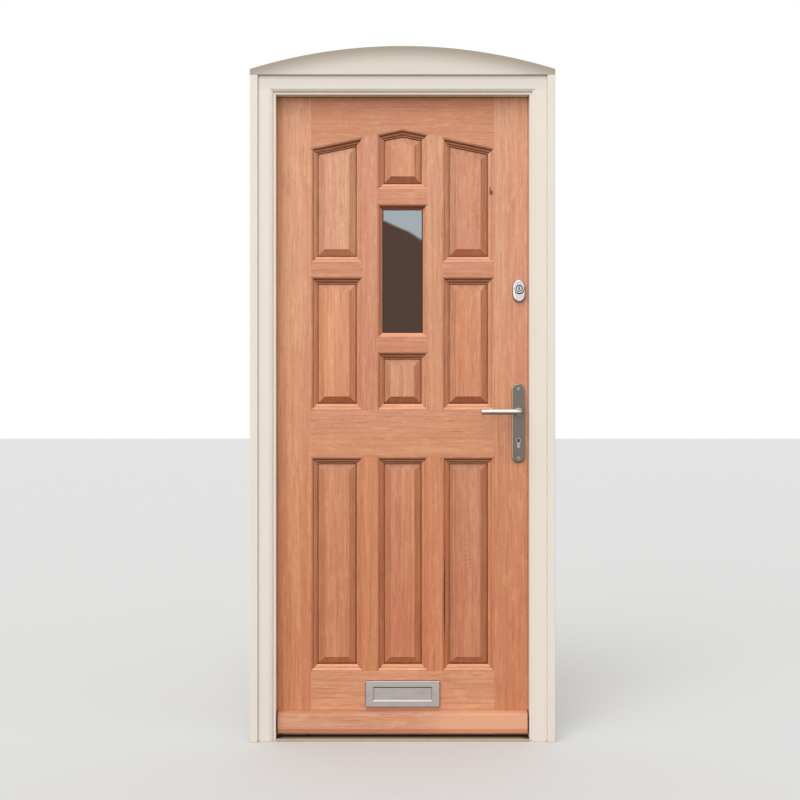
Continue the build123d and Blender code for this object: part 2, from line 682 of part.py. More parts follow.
def raised_panel(outline):
    """A raised and fielded panel with a tongue that floats in the grooves round it."""
    tongue_half = GROOVE_WIDTH / 2 - TONGUE_PLAY
    field_half = FIELD_THICKNESS / 2
    tongue_inset = MOULD_WIDTH - GROOVE_DEPTH + TONGUE_SLACK
    tongue = slab(inset(outline, tongue_inset), LEAF_MID - tongue_half, LEAF_MID + tongue_half)
    sight = inset(outline, MOULD_WIDTH + PANEL_SIDE_PLAY)
    body = slab(sight, LEAF_MID - field_half, LEAF_MID + field_half)
    cutters = []
    for side in (-1, 1):
        wedge = make_face(
            Polyline(
                (-PANEL_SIDE_PLAY, side * tongue_half),
                (0, side * tongue_half),
                (FIELD_MARGIN, side * (field_half - FIELD_STEP)),
                (FIELD_MARGIN, side * FRAME_DEPTH),
                (-PANEL_SIDE_PLAY, side * FRAME_DEPTH),
                close=True,
            )
        )
        for index, start in enumerate(sight):
            cutters.append(run_along(wedge, start, sight[(index + 1) % len(sight)]))
    return (body - cutters) + tongue


def window_glass(outline):
    """The sealed unit's two panes and spacer, and the four beads that hold it from inside."""
    edge = GLASS_MOULD_WIDTH - GLASS_REBATE + PANE_EDGE_PLAY
    front = LEAF_MID - LIP_BACK
    between = front + PANE_THICKNESS
    back = between + PANE_GAP
    pane = inset(outline, edge)
    panes = Compound(
        [
            slab(pane, front, between).solid(),
            slab(pane, back, back + PANE_THICKNESS).solid(),
        ]
    )
    ring = slab(inset(outline, edge + SPACER_INSET), between, back)
    spacer = ring - slab(inset(outline, edge + SPACER_INSET + SPACER_WIDTH), between, back)
    bead_low = back + PANE_THICKNESS - LEAF_MID
    bead = Polyline(
        (GLASS_MOULD_WIDTH, HALF - BEAD_ROUND),
        (GLASS_MOULD_WIDTH, bead_low),
        (GLASS_MOULD_WIDTH - GLASS_REBATE, bead_low),
        (GLASS_MOULD_WIDTH - GLASS_REBATE, HALF),
        (GLASS_MOULD_WIDTH - BEAD_ROUND, HALF),
    )
    turn = RadiusArc(
        (GLASS_MOULD_WIDTH - BEAD_ROUND, HALF), (GLASS_MOULD_WIDTH, HALF - BEAD_ROUND), BEAD_ROUND
    )
    section = make_face([*bead.edges(), *turn.edges()])
    sides = range(len(outline))
    beads = [mitred_side(section, outline, GLASS_MOULD_WIDTH, i).solid() for i in sides]
    return panes, spacer, Compound(beads)


def frame_moulding():
    """The stop's section, from its rebate to the ovolo on its outer arris."""
    front, rebate, back = (y - LEAF_MID for y in (FRAME_FRONT, REBATE_Y, FRAME_BACK))
    start, end = front + FRAME_QUIRK, front + FRAME_QUIRK + FRAME_BEAD_DEPTH
    bead = ThreePointArc(
        (0, start),
        (FRAME_BEAD_WIDTH * OVOLO_ACROSS, start + FRAME_BEAD_DEPTH * OVOLO_DOWN),
        (FRAME_BEAD_WIDTH, end),
    )
    rest = Polyline(
        (FRAME_BEAD_WIDTH, end),
        (FRAME_BEAD_WIDTH, end + FRAME_QUIRK),
        (FRAME_MOULD_WIDTH, end + FRAME_QUIRK),
        (FRAME_MOULD_WIDTH, rebate),
        (FRAME_MOULD_WIDTH - REBATE_WIDTH, rebate),
        (FRAME_MOULD_WIDTH - REBATE_WIDTH, back),
        (0, back),
        (0, start),
    )
    return make_face([*bead.edges(), *rest.edges()])


def frame_timbers():
    """Jambs and head, mitred at the moulding and tenoned behind it."""
    arris_x, arris_z = STOP_X + FRAME_MOULD_WIDTH, STOP_Z + FRAME_MOULD_WIDTH
    outline = [(-arris_x, 0.0), (-arris_x, arris_z), (arris_x, arris_z), (arris_x, 0.0)]
    section = frame_moulding()
    feet = block(-FRAME_OUT, FRAME_OUT, FRAME_FRONT, FRAME_BACK, 0, HEAD_TOP)
    sides = []
    for index in range(3):
        inner = [(-STOP_X, 0.0), (-STOP_X, STOP_Z), (STOP_X, STOP_Z), (STOP_X, 0.0)]
        corners = [outline[index], outline[index + 1], inner[index + 1], inner[index]]
        whole = run_along(section, outline[index], outline[index + 1])
        sides.append(whole & slab(corners, -FRAME_DEPTH, FRAME_DEPTH) & feet)
    half = TENON_THICKNESS / 2
    timbers = {
        "jamb_hinge_side": block(-JAMB_OUT, -arris_x, FRAME_FRONT, FRAME_BACK, 0, arris_z),
        "jamb_lock_side": block(arris_x, JAMB_OUT, FRAME_FRONT, FRAME_BACK, 0, arris_z),
        "frame_head": block(-JAMB_OUT, JAMB_OUT, FRAME_FRONT, FRAME_BACK, arris_z, HEAD_TOP),
    }
    for side, name in ((-1, "jamb_hinge_side"), (1, "jamb_lock_side")):
        x0, x1 = sorted((side * (arris_x + STUB_SHOULDER), side * (JAMB_OUT - STUB_SHOULDER)))
        top = arris_z + JAMB_TENON_LENGTH
        timbers[name] += block(x0, x1, -half, half, arris_z, top)
        timbers["frame_head"] -= block(x0, x1, -half, half, arris_z, top + TENON_END_PLAY)
    timbers["jamb_hinge_side"] += sides[0]
    timbers["frame_head"] += sides[1]
    timbers["jamb_lock_side"] += sides[2]
    for z in FIXING_HEIGHTS:
        timbers["jamb_hinge_side"] -= rod("X", FIXING_RADIUS, -FRAME_OUT, -STOP_X, (FIXING_Y, z))
        timbers["jamb_lock_side"] -= rod("X", FIXING_RADIUS, STOP_X, FRAME_OUT, (FIXING_Y, z))
    return timbers


def cover_strip(side):
    """A strip that covers the outer joint of the jamb, its inner arris eased."""
    x0, x1 = sorted((side * JAMB_OUT, side * FRAME_OUT))
    strip = block(x0, x1, STRIP_FRONT, STRIP_BACK, 0, HEAD_TOP)
    front = strip.edges().filter_by(Axis.Z).group_by(Axis.Y)[0]
    return fillet(front, STRIP_ROUND)


def arch_board():
    """The board that fills the shallow arch over the head, flush with the cover strips."""
    spring, crown = HEAD_TOP + ARCH_SPRING, HEAD_TOP + ARCH_SPRING + ARCH_RISE
    base = Polyline(
        (FRAME_OUT, spring), (FRAME_OUT, HEAD_TOP), (-FRAME_OUT, HEAD_TOP), (-FRAME_OUT, spring)
    )
    arch = ThreePointArc((-FRAME_OUT, spring), (0, crown), (FRAME_OUT, spring))
    board = upright(make_face([*base.edges(), *arch.edges()]), STRIP_FRONT, STRIP_BACK)
    lip = board.edges().filter_by(Axis.X).group_by(Axis.Y)[0]
    return fillet(lip, STRIP_ROUND)


def threshold():
    """A low metal threshold with a sloping nose and grooves, let in between the jambs."""
    nose = -THRESHOLD_NOSE
    rise = nose + THRESHOLD_CHAMFER
    bar = along_x(
        [
            (nose, 0),
            (nose, THRESHOLD_FRONT_EDGE),
            (rise, THRESHOLD_HEIGHT),
            (FRAME_BACK - THRESHOLD_CHAMFER, THRESHOLD_HEIGHT),
            (FRAME_BACK, THRESHOLD_FRONT_EDGE),
            (FRAME_BACK, 0),
        ],
        -REBATE_X,
        REBATE_X,
    )
    cuts = [
        block(-REBATE_X, -STOP_X, nose, REBATE_Y, 0, THRESHOLD_HEIGHT),
        block(STOP_X, REBATE_X, nose, REBATE_Y, 0, THRESHOLD_HEIGHT),
    ]
    for index in range(RIB_COUNT):
        y = rise + RIB_PITCH * (index + 0.5)
        half = RIB_WIDTH / 2
        floor = THRESHOLD_HEIGHT - RIB_DEPTH
        cuts.append(block(-REBATE_X, REBATE_X, y - half, y + half, floor, THRESHOLD_HEIGHT))
    return bar - cuts


def weather_seal():
    """The soft seal on the stop's shoulder, round three sides of the leaf."""
    y0, y1 = REBATE_Y, LEAF_FRONT - RUN_GAP
    inner, low = STOP_X + SEAL_EDGE, STOP_Z + SEAL_EDGE
    outer, high = inner + SEAL_WIDTH, low + SEAL_WIDTH
    pieces = [
        block(-outer, -inner, y0, y1, THRESHOLD_HEIGHT, low),
        block(inner, outer, y0, y1, THRESHOLD_HEIGHT, low),
        block(-outer, outer, y0, y1, low, high),
    ]
    return Compound([piece.solid() for piece in pieces])


def hinges():
    """Three butt hinges: frame plates, leaf plates and pins, the screws and every recess."""
    pitch = HINGE_LENGTH / KNUCKLE_COUNT
    frame_plates, leaf_plates, pins = [], [], []
    frame_screws, leaf_screws, frame_cuts, leaf_cuts = [], [], [], []
    y0 = LEAF_BACK - HINGE_LEAF_WIDTH
    for z in HINGE_HEIGHTS:
        low = z - HINGE_LENGTH / 2
        high = z + HINGE_LENGTH / 2
        seats = {
            "frame": (-REBATE_X - HINGE_THICKNESS, -REBATE_X),
            "leaf": (-HALF_LEAF, -HALF_LEAF + HINGE_THICKNESS),
        }
        for owner, (x0, x1) in seats.items():
            plate = block(x0, x1, y0, LEAF_BACK, low, high)
            first = 0 if owner == "frame" else 1
            for k in range(first, KNUCKLE_COUNT, 2):
                foot = low + k * pitch + (KNUCKLE_GAP if k else 0)
                head = low + (k + 1) * pitch
                barrel = rod("Z", KNUCKLE_RADIUS, foot, head, (PIN_X, PIN_Y))
                plate += barrel + block(x0, x1, LEAF_BACK, PIN_Y, foot, head)
            plate -= rod("Z", PIN_RADIUS + RUN_FIT, low, high, (PIN_X, PIN_Y))
            into = (-1, 0, 0) if owner == "frame" else (1, 0, 0)
            face = x1 if owner == "frame" else x0
            holes = []
            for index, step in enumerate((-1, 0, 1)):
                y = y0 + (HINGE_SCREW_INNER if index == 1 else HINGE_SCREW_OUTER)
                head_at = (face, y, z + step * HINGE_SCREW_SPACING)
                holes.append(screw(head_at, into, SCREW_LENGTH))
            plate -= holes
            recess = block(x0, x1, y0, LEAF_BACK, low, high)
            if owner == "frame":
                frame_plates.append(plate.solid())
                frame_cuts += [recess, *holes]
                frame_screws += holes
            else:
                leaf_plates.append(plate.solid())
                leaf_cuts += [recess, *holes]
                leaf_screws += holes
        pin = rod("Z", PIN_RADIUS, low, high + PIN_HEAD_HEIGHT, (PIN_X, PIN_Y))
        cap = rod("Z", PIN_HEAD_RADIUS, high, high + PIN_HEAD_HEIGHT, (PIN_X, PIN_Y))
        pins.append(chamfer((pin + cap).edges().group_by(Axis.Z)[-1], PIN_HEAD_CHAMFER).solid())
    plates = (Compound(frame_plates), Compound(leaf_plates), Compound(pins))
    return plates, (frame_screws, leaf_screws), (frame_cuts, leaf_cuts)


def euro_section(grow=0.0):
    """The keyhole outline of a profile cylinder."""
    stem = EURO_STEM + grow
    outline = Circle(EURO_ROUND + grow)
    outline += Pos(0, -EURO_DROP / 2) * Rectangle(2 * stem, EURO_DROP)
    return outline + Pos(0, -EURO_DROP) * Circle(stem)


def profile_cylinder():
    """The cylinder's body, its key plug outside, and the cam with its thumb turn inside."""
    front = LEAF_FRONT - PLATE_THICKNESS - EURO_PROUD
    back = LEAF_BACK + PLATE_THICKNESS + EURO_PROUD
    at = (LOCK_X, CYLINDER_Z)
    body = upright(euro_section(), front, back, *at)
    body -= rod("Y", PLUG_RADIUS + RUN_FIT, front, back, at)
    gap = CAM_WIDTH / 2 + CAM_PLAY
    side = EURO_ROUND + CAM_SLOT_MARGIN
    low, high = CYLINDER_Z - CAM_REACH - CAM_PLAY, CYLINDER_Z + side
    body -= block(LOCK_X - side, LOCK_X + side, LEAF_MID - gap, LEAF_MID + gap, low, high)
    plug = rod("Y", PLUG_RADIUS, front, front + PLUG_DEPTH, at)
    keyway = block(
        LOCK_X - KEYWAY_WIDTH / 2,
        LOCK_X + KEYWAY_WIDTH / 2,
        front,
        front + KEYWAY_DEPTH,
        CYLINDER_Z - KEYWAY_DROP - KEYWAY_HEIGHT / 2,
        CYLINDER_Z - KEYWAY_DROP + KEYWAY_HEIGHT / 2,
    )
    plug -= keyway
    half_cam = CAM_WIDTH / 2
    cam = rod("Y", EURO_ROUND - RUN_GAP, LEAF_MID - half_cam, LEAF_MID + half_cam, at)
    cam += block(
        LOCK_X - CAM_HALF_WIDTH,
        LOCK_X + CAM_HALF_WIDTH,
        LEAF_MID - half_cam,
        LEAF_MID + half_cam,
        CYLINDER_Z - CAM_REACH + RUN_GAP,
        CYLINDER_Z,
    )
    shaft = rod("Y", PLUG_RADIUS, LEAF_MID, back + RUN_GAP, at)
    grip = SlotOverall(TURN_LENGTH, TURN_THICKNESS, rotation=90)
    grip_start = back + RUN_GAP
    turn = upright(grip, grip_start, grip_start + TURN_DEPTH, *at)
    turn = chamfer(turn.faces().sort_by(Axis.Y)[-1].edges(), TURN_CHAMFER)
    rose = rod("Y", TURN_ROSE_RADIUS, grip_start, grip_start + TURN_ROSE_THICKNESS, at)
    return body, plug, cam + shaft + turn + rose


def mortice_lock():
    """The lock's case and faceplate, its latch bolt and its deadbolt."""
    x0 = HALF_LEAF - FACEPLATE_THICKNESS - LOCK_CASE_DEPTH
    x1 = HALF_LEAF - FACEPLATE_THICKNESS
    half = LOCK_CASE_THICKNESS / 2
    low, high = FACEPLATE_BOTTOM + LOCK_CASE_MARGIN, FACEPLATE_TOP - LOCK_CASE_MARGIN
    case = block(x0, x1, LEAF_MID - half, LEAF_MID + half, low, high)
    wide = FACEPLATE_WIDTH / 2
    case += block(x1, HALF_LEAF, LEAF_MID - wide, LEAF_MID + wide, FACEPLATE_BOTTOM, FACEPLATE_TOP)
    play = LOCK_PLAY
    pocket = block(
        x0 - play, x1, LEAF_MID - half - play, LEAF_MID + half + play, low - play, high + play
    )
    pocket += block(
        x1, HALF_LEAF, LEAF_MID - wide, LEAF_MID + wide, FACEPLATE_BOTTOM, FACEPLATE_TOP
    )
    reach = LEAF_THICKNESS
    case -= rod("Y", SPINDLE_BORE, LEAF_MID - reach, LEAF_MID + reach, (LOCK_X, LEVER_Z))
    case -= upright(
        euro_section(play), LEAF_MID - reach, LEAF_MID + reach, LOCK_X, CYLINDER_Z
    )
    cam_half = CAM_WIDTH / 2 + CAM_PLAY
    case -= rod(
        "Y", CAM_REACH + CAM_PLAY, LEAF_MID - cam_half, LEAF_MID + cam_half, (LOCK_X, CYLINDER_Z)
    )
    thick = LATCH_WIDTH / 2
    latch_back = HALF_LEAF + LATCH_THROW - LATCH_LENGTH
    latch_z0, latch_z1 = LEVER_Z - LATCH_HEIGHT / 2, LEVER_Z + LATCH_HEIGHT / 2
    latch = slab_plan(
        [
            (latch_back, LEAF_MID - thick),
            (HALF_LEAF + LATCH_THROW - LATCH_WIDTH + BOLT_TIP, LEAF_MID - thick),
            (HALF_LEAF + LATCH_THROW, LEAF_MID + thick - BOLT_TIP),
            (HALF_LEAF + LATCH_THROW, LEAF_MID + thick),
            (latch_back, LEAF_MID + thick),
        ],
        latch_z0,
        latch_z1,
    )
    bolt_z0, bolt_z1 = DEADBOLT_Z - DEADBOLT_HEIGHT / 2, DEADBOLT_Z + DEADBOLT_HEIGHT / 2
    bolt_back = HALF_LEAF - DEADBOLT_LENGTH
    deadbolt = block(bolt_back, HALF_LEAF, LEAF_MID - thick, LEAF_MID + thick, bolt_z0, bolt_z1)
    channels = [
        block(
            latch_back - LATCH_THROW - play,
            HALF_LEAF,
            LEAF_MID - thick - play,
            LEAF_MID + thick + play,
            latch_z0 - play,
            latch_z1 + play,
        ),
        block(
            bolt_back - play,
            HALF_LEAF,
            LEAF_MID - thick - play,
            LEAF_MID + thick + play,
            bolt_z0 - play,
            bolt_z1 + play,
        ),
    ]
    case -= channels
    return case, latch, deadbolt, pocket, (latch_z0, latch_z1), (bolt_z0, bolt_z1)


def slab_plan(outline, z0, z1):
    """A piece whose outline is given in plan, x and y."""
    return extrude(Pos(0, 0, z0) * make_face(Polyline(*outline, close=True)), amount=z1 - z0)


def backplate(outside):
    """A long plate with round ends and a bevelled rim, bored for the lever and the cylinder."""
    y0 = LEAF_FRONT - PLATE_THICKNESS if outside else LEAF_BACK
    y1 = y0 + PLATE_THICKNESS
    outline = SlotOverall(PLATE_HEIGHT, PLATE_WIDTH, rotation=90)
    plate = upright(outline, y0, y1, LOCK_X, PLATE_CENTRE_Z)
    faces = plate.faces().sort_by(Axis.Y)
    plate = chamfer((faces[0] if outside else faces[-1]).edges(), PLATE_BEVEL)
    plate -= rod("Y", LEVER_RADIUS + RUN_FIT, y0, y1, (LOCK_X, LEVER_Z))
    plate -= upright(euro_section(LOCK_PLAY), y0, y1, LOCK_X, CYLINDER_Z)
    return plate


def lever(outside):
    """A round lever bent from its neck, with a collar against the plate and a socket for the spindle."""
    side = -1 if outside else 1
    face = LEAF_FRONT if outside else LEAF_BACK
    root = face + side * RUN_GAP
    bar_y = face + side * LEVER_PROJECTION
    plate_y = face + side * PLATE_THICKNESS
    path = FilletPolyline(
        (LOCK_X, root, LEVER_Z),
        (LOCK_X, bar_y, LEVER_Z),
        (LOCK_X - LEVER_REACH, bar_y, LEVER_Z),
        radius=LEVER_ELBOW,
    )
    section = Plane((LOCK_X, root, LEVER_Z), z_dir=(0, side, 0)) * Circle(LEVER_RADIUS)
    bar = sweep(section, path=path)
    bar = chamfer(bar.faces().sort_by(Axis.X)[0].edges(), LEVER_END_CHAMFER)
    low, high = sorted((plate_y + side * RUN_GAP, plate_y + side * (RUN_GAP + COLLAR_LENGTH)))
    bar += rod("Y", COLLAR_RADIUS, low, high, (LOCK_X, LEVER_Z))
    low, high = sorted((root, face + side * SPINDLE_REACH))
    half = SPINDLE_SIDE / 2
    return bar - block(LOCK_X - half, LOCK_X + half, low, high, LEVER_Z - half, LEVER_Z + half)


def letter_plate_outside():
    """The cast outer plate: a bevelled aperture in front, a pocket for the flap behind."""
    y0, y1 = LEAF_FRONT - LETTER_THICKNESS, LEAF_FRONT
    half_w, half_h = LETTER_WIDTH / 2, LETTER_HEIGHT / 2
    plate = block(-half_w, half_w, y0, y1, LETTER_Z - half_h, LETTER_Z + half_h)
    plate = chamfer(plate.faces().sort_by(Axis.Y)[0].edges(), LETTER_EDGE)
    mouth = Pos(0, y0, LETTER_Z) * (Plane.XZ * Rectangle(APERTURE_WIDTH, APERTURE_HEIGHT))
    throat_size = (APERTURE_WIDTH - 2 * APERTURE_BEVEL, APERTURE_HEIGHT - 2 * APERTURE_BEVEL)
    throat_y = y1 - POCKET_DEPTH
    throat = Pos(0, throat_y, LETTER_Z) * (Plane.XZ * Rectangle(*throat_size))
    plate -= [loft([mouth, throat]), block(*SLOT_X, throat_y, y1, *SLOT_Z)]
    reach = SLOT_X[1] + FLAP_PIVOT_LENGTH
    plate -= rod("X", FLAP_PIVOT_RADIUS + RUN_FIT, -reach, reach, FLAP_AXIS)
    return plate


def letter_flap():
    """The outer flap, hung on two pivots behind the top of the aperture."""
    y0 = LEAF_FRONT - POCKET_DEPTH + FLAP_PLAY
    half = APERTURE_WIDTH / 2 + FLAP_LAP
    low = LETTER_Z - APERTURE_HEIGHT / 2 - FLAP_LAP + FLAP_PLAY
    flap = block(-half, half, y0, y0 + FLAP_THICKNESS, low, FLAP_AXIS[1])
    flap += rod("X", FLAP_BARREL, -half, half, FLAP_AXIS)
    reach = half + FLAP_PIVOT_LENGTH
    return flap + rod("X", FLAP_PIVOT_RADIUS, -reach, reach, FLAP_AXIS)


def letter_plate_inside():
    """The inner frame round the letter slot, with two lugs that carry the inner flap's pivots."""
    y0, y1 = LEAF_BACK, LEAF_BACK + INNER_PLATE_THICKNESS
    half_w, half_h = LETTER_WIDTH / 2, LETTER_HEIGHT / 2
    plate = block(-half_w, half_w, y0, y1, LETTER_Z - half_h, LETTER_Z + half_h)
    plate = chamfer(plate.faces().sort_by(Axis.Y)[-1].edges(), LETTER_EDGE)
    plate -= block(*SLOT_X, y0, y1, *SLOT_Z)
    for side in (-1, 1):
        x0 = INNER_FLAP_HALF + RUN_GAP
        ends = sorted((side * x0, side * (x0 + INNER_LUG_WIDTH)))
        y, z = INNER_FLAP_AXIS
        lug = block(*ends, y0, y, z - INNER_LUG / 2, z + INNER_LUG / 2)
        lug += rod("X", INNER_LUG / 2, *ends, INNER_FLAP_AXIS)
        plate += lug
        plate -= rod("X", FLAP_PIVOT_RADIUS + RUN_FIT, *ends, INNER_FLAP_AXIS)
    return plate


def inner_flap():
    """The inner flap, which hangs over the slot on the room side."""
    y, z = INNER_FLAP_AXIS
    half = INNER_FLAP_HALF
    low = SLOT_Z[0] - INNER_FLAP_LAP
    flap = block(-half, half, y - FLAP_BARREL, y - FLAP_BARREL + FLAP_THICKNESS, low, z)
    flap += rod("X", FLAP_BARREL, -half, half, INNER_FLAP_AXIS)
    reach = half + RUN_GAP + INNER_LUG_WIDTH
    return flap + rod("X", FLAP_PIVOT_RADIUS, -reach, reach, INNER_FLAP_AXIS)


def weatherboard():
    """The board that throws rain clear of the threshold, with a drip groove under its nose."""
    face = LEAF_FRONT
    nose = LEAF_FRONT - WEATHERBOARD_DEPTH
    low, high = WEATHERBOARD_BOTTOM, WEATHERBOARD_TOP
    shoulder = nose + WEATHERBOARD_NOSE_BACK
    board = along_x(
        [
            (face, low),
            (face, high),
            (shoulder, high - WEATHERBOARD_SHOULDER),
            (nose, high - WEATHERBOARD_FALL),
            (nose, low + WEATHERBOARD_UNDERCUT),
            (nose + WEATHERBOARD_TOE, low),
        ],
        -WEATHERBOARD_HALF,
        WEATHERBOARD_HALF,
    )
    ends = (-WEATHERBOARD_HALF, WEATHERBOARD_HALF)
    return board - block(*ends, shoulder, shoulder + DRIP_WIDTH, low, low + DRIP_DEPTH)


def oval(width, height, end_radius):
    """An oval of four arcs that meet smoothly, tighter at its two ends than along its sides."""
    half, rise = width / 2, height / 2 - end_radius
    side_radius = (half**2 + rise**2 - end_radius**2) / (2 * (half - end_radius))
    reach = side_radius / (side_radius - end_radius)
    x = (side_radius - half) * (reach - 1)
    z = rise * reach
    arcs = [
        ThreePointArc((x, -z), (half, 0), (x, z)),
        ThreePointArc((x, z), (0, height / 2), (-x, z)),
        ThreePointArc((-x, z), (-half, 0), (-x, -z)),
        ThreePointArc((-x, -z), (0, -height / 2), (x, -z)),
    ]
    return make_face([edge for arc in arcs for edge in arc.edges()])


def pull_outline(margin):
    """The pull's oval, smaller by one margin all round."""
    return oval(PULL_WIDTH - 2 * margin, PULL_HEIGHT - 2 * margin, PULL_END_RADIUS - margin)


def dish(margin):
    """The rounded outline whose foot lies along the pull's lip, smaller by one margin all round."""
    width, floor = DISH_WIDTH - 2 * margin, NIGHT_Z - DISH_FLOOR_DROP + margin
    height = 2 * (NIGHT_Z - floor)
    return RectangleRounded(width, height, DISH_CORNER - margin)


def cylinder_pull():
    """The oval pull round the night latch's cylinder, with a lip below for the fingers."""
    base_y = LEAF_FRONT - PULL_BASE
    lip_y = LEAF_FRONT - PULL_LIP
    centre_z = NIGHT_Z - PULL_DROP
    base = upright(pull_outline(0), base_y, LEAF_FRONT, NIGHT_X, centre_z)
    base = chamfer(base.faces().sort_by(Axis.Y)[0].edges(), PULL_CHAMFER)
    at_foot = Pos(NIGHT_X, base_y, centre_z) * (Plane.XZ * pull_outline(PULL_RIM))
    at_crest = Pos(NIGHT_X, lip_y, centre_z) * (Plane.XZ * pull_outline(PULL_SHRINK))
    lip = loft([at_foot, at_crest])
    lip = chamfer(lip.faces().sort_by(Axis.Y)[0].edges(), PULL_CHAMFER)
    across = (NIGHT_X - PULL_WIDTH, NIGHT_X + PULL_WIDTH)
    top = NIGHT_Z + PULL_HEIGHT
    lip -= block(*across, lip_y, base_y, NIGHT_Z - DISH_FLOOR_DROP, top)
    groove = upright(dish(0) - dish(DISH_GROOVE), base_y, base_y + DISH_GROOVE_DEPTH, NIGHT_X, NIGHT_Z)
    groove -= block(*across, base_y, LEAF_FRONT, NIGHT_Z - DISH_TOP_DROP, top)
    hole = rod("Y", RIM_FACE_RADIUS, base_y, LEAF_FRONT, (NIGHT_X, NIGHT_Z))
    return base + lip - [groove, hole]


def rim_cylinder():
    """The night latch's cylinder body, and its plug with the tail that turns the latch."""
    at = (NIGHT_X, NIGHT_Z)
    front = LEAF_FRONT - PULL_BASE
    back = LEAF_FRONT + RIM_BODY_LENGTH
    body = rod("Y", RIM_NOSE_RADIUS, front + RIM_NOSE_BACK, LEAF_FRONT, at)
    body += rod("Y", RIM_BODY_RADIUS, LEAF_FRONT, back, at)
    body -= rod("Y", RIM_PLUG_RADIUS + RUN_FIT, front, back, at)
    plug = rod("Y", RIM_PLUG_RADIUS, front, back, at)
    plug += rod("Y", RIM_HEAD_RADIUS, front, front + RIM_HEAD_LENGTH - RUN_GAP, at)
    plug -= block(
        NIGHT_X - KEYWAY_WIDTH / 2,
        NIGHT_X + KEYWAY_WIDTH / 2,
        front,
        front + KEYWAY_DEPTH,
        NIGHT_Z - KEYWAY_HEIGHT / 2,
        NIGHT_Z + KEYWAY_HEIGHT / 2,
    )
    tail = block(
        NIGHT_X - RIM_TAIL_THICKNESS / 2,
        NIGHT_X + RIM_TAIL_THICKNESS / 2,
        back,
        LEAF_BACK + RIM_TAIL_REACH,
        NIGHT_Z - RIM_TAIL_WIDTH / 2,
        NIGHT_Z + RIM_TAIL_WIDTH / 2,
    )
    bolts = []
    for side in (-1, 1):
        place = (NIGHT_X + side * RIM_BOLT_OFFSET, NIGHT_Z)
        bolt = rod("Y", SCREW_RADIUS, back - RIM_BOLT_GRIP, LEAF_BACK, place)
        body -= bolt
        bolts.append(bolt)
    return body, plug + tail, bolts


def night_latch():
    """The rim latch inside: its case, its knob with shaft, its sprung bolt, and the screws."""
    x0, x1 = HALF_LEAF - CASE_WIDTH, HALF_LEAF
    y0, y1 = LEAF_BACK, LEAF_BACK + CASE_DEPTH
    z0, z1 = NIGHT_Z - CASE_HEIGHT / 2, NIGHT_Z + CASE_HEIGHT / 2
    case = block(x0, x1, y0, y1, z0, z1)
    case = fillet(case.edges().filter_by(Axis.Y).group_by(Axis.X)[0], CASE_ROUND)
    case = chamfer(case.faces().sort_by(Axis.Y)[-1].edges(), CASE_CHAMFER)
    bolt_y = LEAF_BACK + NIGHT_BOLT_BACK
    front = HALF_LEAF + NIGHT_BOLT_THROW
    back = front - NIGHT_BOLT_LENGTH
    low, high = NIGHT_Z - NIGHT_BOLT_HEIGHT / 2, NIGHT_Z + NIGHT_BOLT_HEIGHT / 2
    bolt = slab_plan(
        [
            (back, bolt_y),
            (x1 + NIGHT_BOLT_FLAT, bolt_y),
            (front, bolt_y + NIGHT_BOLT_THICKNESS - BOLT_TIP),
            (front, bolt_y + NIGHT_BOLT_THICKNESS),
            (back, bolt_y + NIGHT_BOLT_THICKNESS),
        ],
        low,
        high,
    )
    play = LOCK_PLAY
    case -= block(
        back - NIGHT_BOLT_THROW - play,
        x1,
        bolt_y - play,
        bolt_y + NIGHT_BOLT_THICKNESS + play,
        low - play,
        high + play,
    )
    case -= rod("Y", RIM_TAIL_HOLE, y0, bolt_y, (NIGHT_X, NIGHT_Z))
    at = (NIGHT_KNOB_X, NIGHT_Z)
    case -= rod("Y", NIGHT_KNOB_SHAFT + RUN_FIT, y1 - NIGHT_SHAFT_DEPTH - play, y1, at)
    start = y1 + RUN_GAP
    shaft = rod("Y", NIGHT_KNOB_SHAFT, y1 - NIGHT_SHAFT_DEPTH, start, at)
    neck = rod("Y", NIGHT_NECK_RADIUS, start, start + NIGHT_NECK_LENGTH, at)
    head = rod("Y", NIGHT_KNOB_RADIUS, start + NIGHT_NECK_LENGTH, start + NIGHT_KNOB_DEPTH, at)
    head = chamfer(head.edges().filter_by(GeomType.CIRCLE), NIGHT_KNOB_CHAMFER)
    screws = []
    for x in (x0 + CASE_SCREW_EDGE, x1 - CASE_SCREW_EDGE):
        for z in (z0 + CASE_SCREW_EDGE, z1 - CASE_SCREW_EDGE):
            screws.append(screw((x, y1, z), (0, -1, 0), CASE_DEPTH + SCREW_BITE))
    case -= screws
    return case, shaft + neck + head, bolt, screws, (low, high)


def night_latch_keep(bolt_z):
    """The box keep on the jamb that takes the night latch's bolt."""
    x0, x1 = REBATE_X, REBATE_X + KEEP_WIDTH
    y0, y1 = LEAF_BACK, LEAF_BACK + KEEP_DEPTH
    z0, z1 = NIGHT_Z - KEEP_HEIGHT / 2, NIGHT_Z + KEEP_HEIGHT / 2
    keep = block(x0, x1, y0, y1, z0, z1)
    keep = fillet(keep.edges().filter_by(Axis.Y).group_by(Axis.X)[-1], KEEP_ROUND)
    play = KEEP_POCKET_PLAY
    bolt_y = LEAF_BACK + NIGHT_BOLT_BACK
    keep -= block(
        x0,
        HALF_LEAF + NIGHT_BOLT_THROW + play,
        bolt_y - play,
        bolt_y + NIGHT_BOLT_THICKNESS + play,
        bolt_z[0] - play,
        bolt_z[1] + play,
    )
    screws = []
    for z in (z0 + KEEP_SCREW_EDGE, z1 - KEEP_SCREW_EDGE):
        screws.append(screw((x1 - KEEP_SCREW_SIDE, y1, z), (0, -1, 0), KEEP_DEPTH + SCREW_BITE))
    return keep - screws, screws


